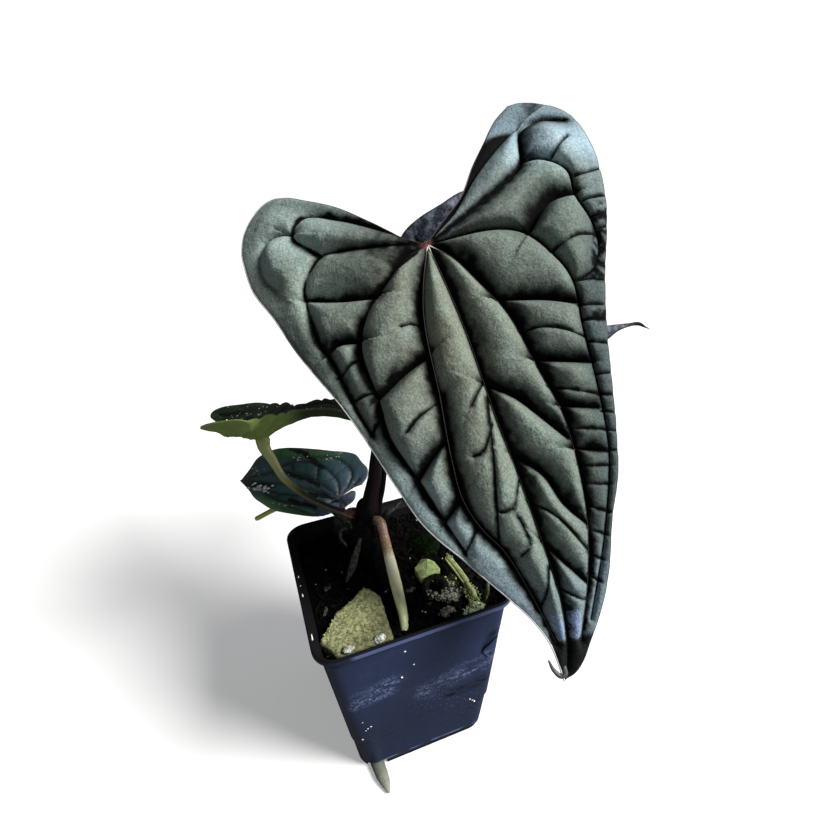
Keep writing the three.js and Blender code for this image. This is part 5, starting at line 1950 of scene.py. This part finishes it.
@dataclass
class Stalks:
    """Stem, petioles, roots and dry scales."""

    leaves: Leaves
    stem: Path = (
        (-7, 14, 62), (-8, 14.5, 84), (-7.6, 16, 96), (-6.6, 18, 106), (-5.4, 20, 113),
        (-4.6, 20.4, 118),
    )
    main: Path = (
        (-2.9, 19.6, 106), (-2.2, 20, 121), (1, 20, 133.3), (3.2, 20.5, 143.9), (9, 23, 166),
        (18, 26, 196), (27, 28, 222), (36.1, 24.2, 235.6),
    )
    back: Path = (
        (1.2, 22.6, 106), (3.1, 24.4, 116), (5.5, 24.9, 124), (8.3, 26, 136.7), (13, 31, 152),
        (21, 42, 167), (32, 53, 179), (49, 61, 191), (62.4, 58.8, 201.6),
    )
    left: Path = (
        (-9, 20, 112.4), (-15, 21.6, 117), (-21.4, 27.4, 118.4), (-29.6, 36, 120.9),
        (-35.5, 42, 124.9), (-40, 46.4, 130.2), (-43.2, 50, 139.4), (-45.8, 52.6, 146.4),
    )
    small: Path = ((-7.5, 23, 104), (-10.5, 29, 106), (-13.4, 36, 107.4), (-14.7, 40.8, 109.8))
    aerial: Path = (
        (-2.8, 15, 113.6), (-0.6, 12, 114), (-0.5, 6, 108.2), (-1.6, -6, 102.6), (-2.8, -18, 98.6),
        (-4.2, -30, 95), (-5.6, -35.6, 89.5), (-6, -37.2, 84.4),
    )
    side: Path = (
        (-9, 23, 97), (-14, 36, 100.8), (-21, 47, 104), (-34, 54.5, 105.6), (-46, 57, 105.2),
        (-57.4, 55.2, 103.4),
    )
    drain: Path = (
        (-26.2, -30.4, 2.1), (-25.9, -34, 2.1), (-25.4, -38.4, 2), (-24.8, -43, 1.8),
        (-24.6, -47.2, 1.3),
    )
    scales: tuple = (
        (
            "cataphyll_front",
            ((-11.2, 11, 108.4), (-15.6, 6, 102.6), (-19.4, 2.6, 97.6), (-22.6, 0.4, 94.2)),
            (0.6, 1.5, 1.7, 0.5),
        ),
        (
            "cataphyll_left",
            ((-13.2, 17.4, 111), (-18.6, 15.4, 113), (-20.4, 12.6, 111), (-18.4, 9.4, 107.4)),
            (0.5, 0.8, 0.7, 0.4),
        ),
        (
            "cataphyll_right",
            ((1.2, 16.6, 112), (4.8, 16, 115.6), (9, 16.6, 117), (13, 18.2, 118.6)),
            (1, 1.9, 1.2, 0.4),
        ),
    )

    def joined(self, route: Path, blade: Blade, drop: float) -> list[Sequence[float]]:
        """A petiole's route, ended a little way under the joint of the blade that it carries."""
        return [*route, tuple(blade.place() @ Vector((0, 0, -drop)))]

    def build(self) -> None:
        """Makes every stalk."""
        bark = lobed(5, 0.03, 0.12, 2)
        stem = Shape().tube(self.stem, [5, 6.2, 8, 8.6, 8.4, 6], 40, 70, 0.9, bark)
        draw = np.random.default_rng(6)
        for k in range(26):
            angle = draw.uniform(2.2, 5.6)
            z = draw.uniform(98, 117)
            reach = 7.6 if z < 112 else 6
            at = (-6.6 + reach * math.cos(angle), 18 + reach * math.sin(angle), z)
            size = draw.uniform(1.4, 3.4, 3)
            stem.lump(size, at, k, 2, 0.25)
        dress(stem.build("stem_base"), STEM_SKIN, Slot.STEM, "stem")
        nodule = Shape().lump((8.4, 5, 4.6), (-12, 21.6, 116.8), 5, 3, 0.16, 0.5, (0, 0.2, 0))
        nodule.lump((5, 4, 3.6), (-14.6, 22.4, 114.6), 8, 3, 0.2, 0.5)
        dress(nodule.build("stem_nodule_left"), NODULE, Slot.STEM)
        leaves = self.leaves
        ridged = lobed(3, 0.05, 0.04, 5)
        rows = (
            ("petiole_main", self.joined(self.main, leaves.main, 1.8),
             [4.6, 4, 3.3, 2.9, 2.6, 2.3, 2.1, 2, 1.9, 1.9, 2.1], 18, 110, DARK_PETIOLE, Slot.DARK_PETIOLE),
            ("petiole_back", self.joined(self.back, leaves.back, 1.5),
             [1.5, 1.4, 1.3, 1.2, 1.2], 12, 90, DARK_PETIOLE, Slot.DARK_PETIOLE),
            ("petiole_left", self.joined(self.left, leaves.left, 1.3),
             [2.1, *[1.7] * 4, 1.8, 1.8, 1.9, 2.1, 2.6, 3.6], 16, 90, LEFT_PETIOLE, Slot.GREEN_PETIOLE),
            ("petiole_small", self.joined(self.small, leaves.small, 1.4),
             [1.4, 1.2, 1.1], 12, 30, DARK_PETIOLE, Slot.GREEN_PETIOLE),
            ("aerial_root", self.aerial,
             [2.4, 2.3, 2.4, 2.7, 2.7, 2.3, 1.8, 1.2], 18, 70, AERIAL_SKIN, Slot.ROOT),
            ("side_root", self.side, [1.3, 1.4, 1.4, 1.4, 1.3], 12, 50, SIDE_SKIN, Slot.ROOT),
        )
        for node, route, radii, sides, steps, finish, slot in rows:
            piece = Shape().tube(route, radii, sides, steps, 1, ridged).build(f"{node}_stalk")
            dress(piece, finish, slot, node)
        drain = Shape().tube(self.drain, [1.9, 1.9, 1.8, 1.35, 0.4], 16, 36, 1.65, lobed(4, 0.04, 0.06, 9))
        dress(drain.build("drain_root_stalk"), DRAIN_SKIN, Slot.ROOT, "drain_root")
        for name, route, widths in self.scales:
            piece = Shape().tube(route, widths, 14, 30, 0.35, lobed(2, 0.08, 0.14, len(name)))
            dress(piece.build(f"{name}_scale"), DRY, Slot.SCALE, name)


# The mix and what lies on it


def heaped(
    shape: Shape,
    draw: np.random.Generator,
    heaps: tuple,
    sizes: tuple[float, float],
    tints: tuple[float, float],
    flat: bool = False,
) -> None:
    """Adds heaps of small lumps, thickest at each heap's middle.

    Args:
        shape: What they are added to.
        draw: The seeded draw.
        heaps: How many lumps, the middle and the spread of each heap.
        sizes: The smallest and the largest size.
        tints: The darkest and the lightest tint.
        flat: Whether they keep their facets.
    """
    spots = [(middle, spread) for count, middle, spread in heaps for _ in range(count)]
    for k, (middle, spread) in enumerate(spots):
        at = np.array(middle) + draw.normal(0, 1, 3) * spread
        shape.lump(draw.uniform(*sizes, 3), at, k, 1, 0.3, 0.7, flat=flat, tint=draw.uniform(*tints))


@dataclass
class Substrate:
    """The coarse mix and the pieces on it."""

    half: float = 38.6
    chips: int = 380
    crumbs: int = 760
    fibres: int = 70
    grit: int = 26
    grain_rows: tuple = (
        ("grain_left", (4.6, 3, 2.8), (-31, -39.2, 97.2)),
        ("grain_front", (5, 3.4, 3), (-16.9, -38.8, 97)),
    )
    flake_rows: tuple[tuple[float, ...], ...] = (
        (-31.4, 1.9, 6, 2.4, 0.9), (-35, -11, 8, 1.5, 1.2), (4.6, -15.6, 6.4, 2.2, 0.15),
        (7.8, -9.4, 3.4, 1.6, 1.2), (-19.5, 29, 3, 1.2, 0.4), (-22, -4, 4, 1.4, 2.2),
        (9.5, -27, 4.4, 1.8, 0.5), (-6, -12, 3, 1, 1.9),
    )
    chunk: Path = (
        (-35.5, -40), (-24, -40.4), (-11.5, -40), (-11, -28), (-10.2, -16), (-15.6, -8.2),
        (-23, -13.5), (-31.5, -18.5), (-36, -24), (-41.2, -30.5),
    )

    def __post_init__(self) -> None:
        """Makes the search trees for the mix and for what stands on it."""
        self.ground = self.tree("mix")
        names = ("chunk_pale", "chunk_green", "bark_ring", "stem_stub", "clump_grey", "crust_pale")
        names += ("pebble_grey", "moss", "stem", "aerial_root")
        self.others = [self.tree(name) for name in names]

    @staticmethod
    def tree(name: str) -> BVHTree:
        """Makes a search tree over the faces of a CAD node.

        Args:
            name: The node.

        Returns:
            The tree.
        """
        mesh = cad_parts[name].data
        points = [v.co for v in mesh.vertices]
        return BVHTree.FromPolygons(points, [tuple(f.vertices) for f in mesh.polygons])

    def drop(self, x: float, y: float) -> float | None:
        """Height of the open mix at a place.

        Args:
            x: The place across.
            y: The place in depth.

        Returns:
            The height, or None where something stands on the mix.
        """
        above, down = Vector((x, y, 140)) * MM, Vector((0, 0, -1))
        hit = self.ground.ray_cast(above, down)[0]
        if hit is None:
            return None
        for tree in self.others:
            other = tree.ray_cast(above, down)[0]
            if other is not None and other.z > hit.z + 0.4 * MM:
                return None
        return hit.z / MM

    def scattered(self, count: int, seed: int) -> list[tuple[float, float, float, np.random.Generator]]:
        """Seeded places on the open mix.

        Args:
            count: How many are tried.
            seed: Which draw.

        Returns:
            The places, each with the draw to go on with.
        """
        draw = np.random.default_rng(seed)
        places = []
        for x, y in draw.uniform(-self.half, self.half, (count, 2)):
            z = self.drop(x, y)
            if z is not None:
                places.append((x, y, z, draw))
        return places

    def build(self) -> None:
        """Dresses the mix and makes what lies on it."""
        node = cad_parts["mix"]
        node.data.materials.clear()
        node.data.materials.append(EARTH.material())
        self.litter()
        self.pale_chunk()
        self.green_things()
        self.grey_things()
        self.moss()

    def strewn(
        self,
        count: int,
        seed: int,
        low: Sequence[float],
        high: Sequence[float],
        rough: float = 0.3,
        grain: float = 0.8,
        tilt: float = 0.0,
        lift: float = 0.3,
    ) -> Shape:
        """Faceted lumps strewn over the open mix.

        Args:
            count: How many are tried.
            seed: Which draw.
            low: The smallest sizes.
            high: The largest sizes.
            rough: How far their surface strays.
            grain: The size of their bumps.
            tilt: How far they tip in radians; 0 leaves them unturned.
            lift: How far their middles lie over the mix.

        Returns:
            The lumps.
        """
        shape, turn = Shape(), (0, 0, 0)
        for k, (x, y, z, draw) in enumerate(self.scattered(count, seed)):
            size = draw.uniform(low, high)
            if tilt:
                turn = draw.uniform((-tilt, -tilt, 0), (tilt, tilt, 6.3))
            shape.lump(size, (x, y, z + lift), k, 1, rough, grain, turn, True, tint=draw.uniform())
        return shape

    def litter(self) -> None:
        """Bark chips, crumbs, dry flakes, mineral grains and grit."""
        chips = self.strewn(self.chips, 31, (2.2, 1.4, 0.7), (6.4, 4, 2.2), 0.35, 0.9, 0.5)
        dress(chips.build("mix_chips"), CRUMB, Slot.MIX)
        crumbs = self.strewn(self.crumbs, 32, (0.7,) * 3, (2.2,) * 3)
        dress(crumbs.build("mix_crumbs"), CRUMB, Slot.MIX)
        dress(self.threads().build("mix_fibres"), FIBRE, Slot.MIX)
        flakes = Shape()
        for k, (x, y, length, wide, turn) in enumerate(self.flake_rows):
            z = self.drop(x, y)
            if z is not None:
                flakes.lump((length, wide, 1), (x, y, z + 0.5), k, 3, 0.25, 0.8, (0.2, 0.1, turn), True)
        dress(flakes.build("mix_flakes"), DRY, Slot.MIX)
        for k, (name, size, at) in enumerate(self.grain_rows):
            grain = Shape().lump(size, at, k + 50, 3, 0.3, 0.8, tint=0.6)
            dress(grain.build(f"{name}_fine"), WHITE_GRAIN, Slot.GRAIN, name)
        grit = self.strewn(self.grit, 35, (0.4,) * 3, (1.3,) * 3, lift=0.4)
        dress(grit.build("mix_grit"), GRIT, Slot.GRAIN)

    def threads(self) -> Shape:
        """The thin fibres on the mix, two of them listed.

        Returns:
            The fibres.
        """
        threads = Shape()
        fixed = [((-20, 20, 97), (-14, 7, 96.5)), ((-12, 12, 99), (-8, 5, 96.5))]
        for x, y, z, draw in self.scattered(self.fibres, 33):
            angle, length = draw.uniform(0, 6.3), draw.uniform(3, 10)
            end = (x + length * math.cos(angle), y + length * math.sin(angle))
            z_end = self.drop(*end)
            if z_end is not None and max(abs(end[0]), abs(end[1])) < self.half:
                fixed.append(((x, y, z + 0.3), (*end, z_end + 0.5)))
        draw = np.random.default_rng(34)
        for start, end in fixed:
            middle = (np.array(start) + end) / 2 + draw.normal(0, 0.8, 3) + (0, 0, 0.8)
            wide = draw.uniform(0.12, 0.34)
            threads.tube([start, middle, end], [wide, wide, wide / 2], 5, 8, tint=draw.uniform())
        return threads

    def pale_chunk(self) -> None:
        """The pale granular block at the front left."""
        corners = np.array([*self.chunk, self.chunk[0]], float)
        places = np.linspace(0, len(self.chunk), 161)[:-1]
        loop = np.column_stack([np.interp(places, range(len(corners)), c) for c in corners.T])
        for _ in range(2):
            loop = (np.roll(loop, 1, 0) + 2 * loop + np.roll(loop, -1, 0)) / 4
        middle = loop.mean(0)
        rows = [(0.86, 90.5), (0.97, 91.5), (1.0, 92.6), (1.0, 94), (1.0, 95.4), (0.975, 96.3)]
        rows += [(share, 96.8 + 1.6 * (1 - share**2)) for share in np.linspace(0.94, 0.06, 26)]
        rings = []
        for share, z in rows:
            ring = middle + (loop - middle) * share
            rings.append(np.column_stack([ring, np.full(len(ring), z)]))
        points, faces = skin(rings, [(*middle, rows[0][1]), (*middle, 98.5)])
        stray = 0.5 * wobble(points, 5, 4) + 0.28 * wobble(points, 1.5, 5)
        points[:, 2] += np.where(points[:, 2] > 91, stray, 0)
        edge = 0.3 * wobble(points, 2.4, 6)
        away = points[:, :2] - middle
        points[:, :2] -= unit(away) * np.abs(edge)[:, None]
        shade = 0.45 + 0.12 * wobble(points, 9, 7) + 0.045 * (points[:, 1] + 27) - 0.02 * (points[:, 0] + 24)
        shape = Shape().add(points, faces, tint=np.clip(shade, 0, 1))
        draw = np.random.default_rng(8)
        for k in range(700):
            angle, share = draw.uniform(0, 6.3), draw.uniform(0, 0.95) ** 0.5
            spot = middle + (loop[int(angle / 6.3 * len(loop))] - middle) * share
            size = draw.uniform(0.2, 0.5, 3)
            z = 96.95 + 1.6 * (1 - share**2)
            light = 0.45 + 0.045 * (spot[1] + 27) - 0.02 * (spot[0] + 24) + draw.uniform(-0.2, 0.4)
            shape.lump(size, (*spot, z), k, 1, 0.3, 0.8, tint=min(max(light, 0), 1))
        dress(shape.build("chunk_pale_block"), PALE, Slot.PALE_CHUNK, "chunk_pale")

    def green_things(self) -> None:
        """The green chunk, the split cut stem and the thin shoot."""
        corners = [(9.4, -7.1), (14.6, -2.8), (19.6, -6.8), (20.4, -12.3), (14.2, -15), (9.8, -14.2)]
        top = [(x, y, 97.2) for x, y in corners] + [(16.6, -5.8, 99.2), (12.8, -14.2, 98.4)]
        sole = [(x, y, 91) for x, y in corners]
        roof = [(0, 5, 7, 6), (0, 6, 1), (1, 6, 2), (6, 7, 3, 2), (7, 4, 3), (7, 5, 4)]
        walls = [(k, (k + 1) % 6, (k + 1) % 6 + 8, k + 8) for k in range(6)]
        chunk = Shape()
        for face in [*roof, *walls, (8, 9, 10, 11, 12, 13)]:
            flat = np.array([(*top, *sole)[k] for k in face], float)
            out = np.cross(flat[1] - flat[0], flat[2] - flat[0])
            if out @ (flat.mean(0) - (14.8, -9.4, 94.5)) < 0:
                flat = flat[::-1]
            # Painted shade: the facets on the left side of the block get a darker tint than those on the
            # right.
            pale = 0.75 if flat[:, 0].mean() < 14.5 else 0.95
            chunk.add(flat, [np.array([range(len(face))])], flat=True, tint=pale)
        draw = np.random.default_rng(9)
        heaps = ((200, (22.2, -19.8, 94.2), (1.4, 1.9, 0.8)), (40, (14.8, -9.4, 94), (2.6, 2.2, 1.2)))
        heaped(chunk, draw, heaps, (0.5, 1.5), (0.4, 1), True)
        dress(chunk.build("chunk_green_block"), GREEN, Slot.GREEN_CHUNK, "chunk_green")

        def split(share: np.ndarray, angle: np.ndarray) -> np.ndarray:
            """A groove along the top between two light edges."""
            return 1 - 0.3 * np.maximum(np.cos(angle - 1.6), 0) ** 6

        route = ((26, -9, 98), (26.8, -17.6, 98.2), (27.6, -26, 98), (28.2, -33, 96.8))
        stub = Shape().tube(route, [1.7, 1.7, 1.8, 2], 28, 50, 0.8, split, tint=0.4)
        for side in (-1.35, 1.35):
            rail = [(x + side, y, z + 0.9) for x, y, z in route[:3]]
            stub.tube(rail, [0.34, 0.4, 0.42, 0.3], 8, 30, tint=1.2)
        draw = np.random.default_rng(19)
        heaps = ((260, (28, -31.4, 96), (1.5, 2.3, 0.9)), (70, (26.4, -9.6, 98.4), (0.8, 1.1, 0.5)))
        heaped(stub, draw, heaps, (0.4, 1.2), (0, 0.9))
        dress(stub.build("stem_stub_split"), STUB, Slot.STUB, "stem_stub")
        path = ((33, -33.8, 91.6), (34.4, -34, 97), (35.2, -32.6, 101), (34.6, -31, 104))
        shoot = Shape().tube(path, [0.8, 0.9, 0.45], 10, 30, tint=0.6)
        dress(shoot.build("shoot_green_stalk"), SHOOT, Slot.GREEN_PETIOLE, "shoot_green")

    def grey_things(self) -> None:
        """The curled bark, the speckled clump, the crust and the pebble."""
        angle = np.linspace(0, 2 * math.pi, 97)[:-1]
        ring = np.column_stack([4.6 * np.cos(angle), 4.6 * np.sin(angle), np.zeros(96)])
        spin = Matrix.Rotation(-0.2, 3, "Y") @ Matrix.Rotation(0.25, 3, "X")
        ring = ring @ np.array(spin).T + (14.6, -20.6, 95.6)
        curl = Shape()
        for half in (ring[:52], np.vstack([ring[48:], ring[:4]])):
            curl.tube(half[::4], [1.4, 1.7, 1.5, 1.7, 1.4], 14, 50, 1, lobed(3, 0.08, 0.2, 3), tint=0.3)
        dress(curl.build("bark_ring_curl"), BARK, Slot.BARK, "bark_ring")
        rows = (
            ("clump_grey", (11, 9.4, 5.6), (21, -26.6, 92.8), CLUMP, Slot.CLUMP, 200),
            ("crust_pale", (11, 4.8, 3.4), (26.4, -36.6, 92.6), CRUST, Slot.CRUST, 50),
            ("pebble_grey", (9, 5, 4), (15, -33.6, 92.2), PEBBLE, Slot.CLUMP, 70),
        )
        for seed, (name, size, at, finish, slot, grains) in enumerate(rows):
            shape = Shape().lump(size, at, seed + 12, 4, 0.16, 0.5, (0, 0, 0.1), tint=0.5)
            draw = np.random.default_rng(seed + 40)
            for k in range(130 if name == "clump_grey" else 0):
                turn, reach = draw.uniform(3.3, 6.5), draw.uniform(4, 6.6)
                x, y = 15.6 + reach * math.cos(turn), -21 + reach * math.sin(turn)
                place = (x, y, draw.uniform(93.6, 96.8))
                shape.lump(draw.uniform(0.5, 1.8, 3), place, k, 1, 0.3, 0.8, tint=draw.uniform())
            for k in range(grains):
                direction = unit(draw.normal(size=3) * (1, 1, 0.6) + (0, 0, 0.6))
                place = np.array(at) + direction * np.array(size) * 0.48
                small = draw.uniform(0.4, 1.6, 3)
                shape.lump(small, place, k, 1, 0.3, 0.8, tint=draw.uniform())
            dress(shape.build(f"{name}_rough"), finish, slot, name)

    def moss(self) -> None:
        """The patch of dark moss: a low cushion with many small leafy tufts."""
        size, at = np.array((17, 19, 7)), np.array((19.5, 9, 93.6))
        shape = Shape().lump(size * 0.92, at, 9, 4, 0.14, 0.4, (0, 0, 0.4), tint=0.3)
        draw = np.random.default_rng(12)
        for _ in range(2600):
            out = unit(draw.normal(size=3) * (1, 1, 0.7) + (0, 0, 0.7))
            foot = at + out * size * 0.45
            lean = unit(out + draw.normal(0, 0.5, 3)) * draw.uniform(0.6, 1.5)
            side = unit(np.cross(lean, draw.normal(size=3))) * draw.uniform(0.14, 0.3)
            other = unit(np.cross(lean, side)) * 0.12
            points = np.array([foot - side, foot + side, foot + other, foot + lean])
            faces = np.array([(0, 1, 3), (1, 2, 3), (2, 0, 3), (0, 2, 1)])
            shape.add(points, [faces], tint=draw.uniform())
        dress(shape.build("moss_cushion"), MOSS, Slot.MOSS, "moss")


# The studio


@dataclass
class Studio:
    """A pale floor, soft light and the camera at the photograph's angle."""

    camera_at: tuple[float, float, float] = (-42.8, -187.0, 277.6)
    azimuth: float = -18.41
    elevation: float = 28.28
    roll: float = -3.80
    lens: float = 22.51
    sun: tuple[float, float, float] = (0.56, -0.42, 0.72)
    floor_half: float = 2600

    def camera(self) -> None:
        """Makes the camera."""
        a, e, r = (math.radians(x) for x in (self.azimuth, self.elevation, self.roll))
        back = Vector((math.sin(a) * math.cos(e), -math.cos(a) * math.cos(e), math.sin(e)))
        right = Vector((math.cos(a), math.sin(a), 0))
        up = back.cross(right)
        across = right * math.cos(r) + up * math.sin(r)
        upright = up * math.cos(r) - right * math.sin(r)
        data = bpy.data.cameras.new("camera")
        data.lens, data.sensor_width, data.sensor_fit = self.lens, 36, "HORIZONTAL"
        data.clip_start = 0.01
        camera = bpy.data.objects.new("camera", data)
        turn = Matrix((across, upright, back)).transposed().to_4x4()
        camera.matrix_world = Matrix.Translation(Vector(self.camera_at) * MM) @ turn
        bpy.context.scene.collection.objects.link(camera)
        bpy.context.scene.camera = camera

    def lamp(
        self, kind: str, name: str, at: Sequence[float], power: float, size: float, colour: Colour
    ) -> None:
        """Makes a lamp that looks at the middle of the plant.

        Args:
            kind: SUN or AREA.
            name: Its name.
            at: Where it stands, in millimetres.
            power: How strong it is.
            size: A sun's angle in radians, or an area's width in millimetres.
            colour: Its colour.
        """
        data = bpy.data.lights.new(name, kind)
        data.energy, data.color = power, colour
        if kind == "SUN":
            data.angle = size
        else:
            data.size = size * MM
        lamp = bpy.data.objects.new(name, data)
        aim = Vector((20, 0, 120)) - Vector(at)
        turn = aim.to_track_quat("-Z", "Y").to_matrix().to_4x4()
        lamp.matrix_world = Matrix.Translation(Vector(at) * MM) @ turn
        bpy.context.scene.collection.objects.link(lamp)

    def floor(self) -> None:
        """Makes the pale floor."""
        turns = ((-1, -1), (1, -1), (1, 1), (-1, 1))
        points = np.array([(x * self.floor_half, y * self.floor_half, -0.05) for x, y in turns])
        floor = Shape().add(points, [np.array([(0, 1, 2, 3)])]).build("floor")
        paint = Paint(bpy.data.materials.new("floor"))
        seen = paint.node("ShaderNodeLightPath", output="Is Camera Ray")
        colour = paint.mix(seen, (0.12, 0.12, 0.12), (0.7, 0.7, 0.7))
        glow = {"Emission_Color": paint.mix(seen, (0, 0, 0), (1, 1, 1)), "Emission_Strength": 0.3}
        floor.data.materials.append(paint.surface(Base_Color=colour, Roughness=0.9, **glow))

    def build(self) -> None:
        """Sets up camera, floor, lamps and surroundings."""
        self.camera()
        self.floor()
        at = Vector(self.sun).normalized() * 900
        self.lamp("SUN", "key", at, 6.0, math.radians(24), (1, 0.99, 0.97))
        self.lamp("AREA", "front_fill", (-260, -520, 200), 0.42, 420, (0.9, 0.94, 1.0))
        self.lamp("AREA", "right_rim", (520, -60, 120), 0.9, 300, (0.84, 0.84, 1.0))
        self.surroundings()
        bpy.context.scene.view_settings.view_transform = "Standard"

    def surroundings(self) -> None:
        """Makes the surroundings white to the camera and dim to everything else."""
        world = bpy.data.worlds.new("surroundings")
        bpy.context.scene.world = world
        sky = Paint(world)
        sky.surface(Color=(0.92, 0.96, 1.0), Strength=0.09)
        dim = Wire(sky, sky.shader.outputs[0])
        white = sky.node("ShaderNodeBackground", None, {"Color": (1, 1, 1), "Strength": 1.0})
        seen = sky.node("ShaderNodeLightPath", output="Is Camera Ray")
        mixed = sky.node("ShaderNodeMixShader", None, {0: seen, 1: dim, 2: white})
        out = next(n for n in sky.tree.nodes if n.type == "OUTPUT_WORLD")
        sky.put(out.inputs["Surface"], mixed)


def main() -> None:
    """Builds the studio and every piece."""
    logging.basicConfig(level=logging.INFO, format="%(relativeCreated)6d %(name)s: %(message)s")
    Studio().build()
    Pot().build()
    Substrate().build()
    leaves = Leaves()
    leaves.build()
    Stalks(leaves).build()
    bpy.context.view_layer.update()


if __name__ == "__main__":
    main()
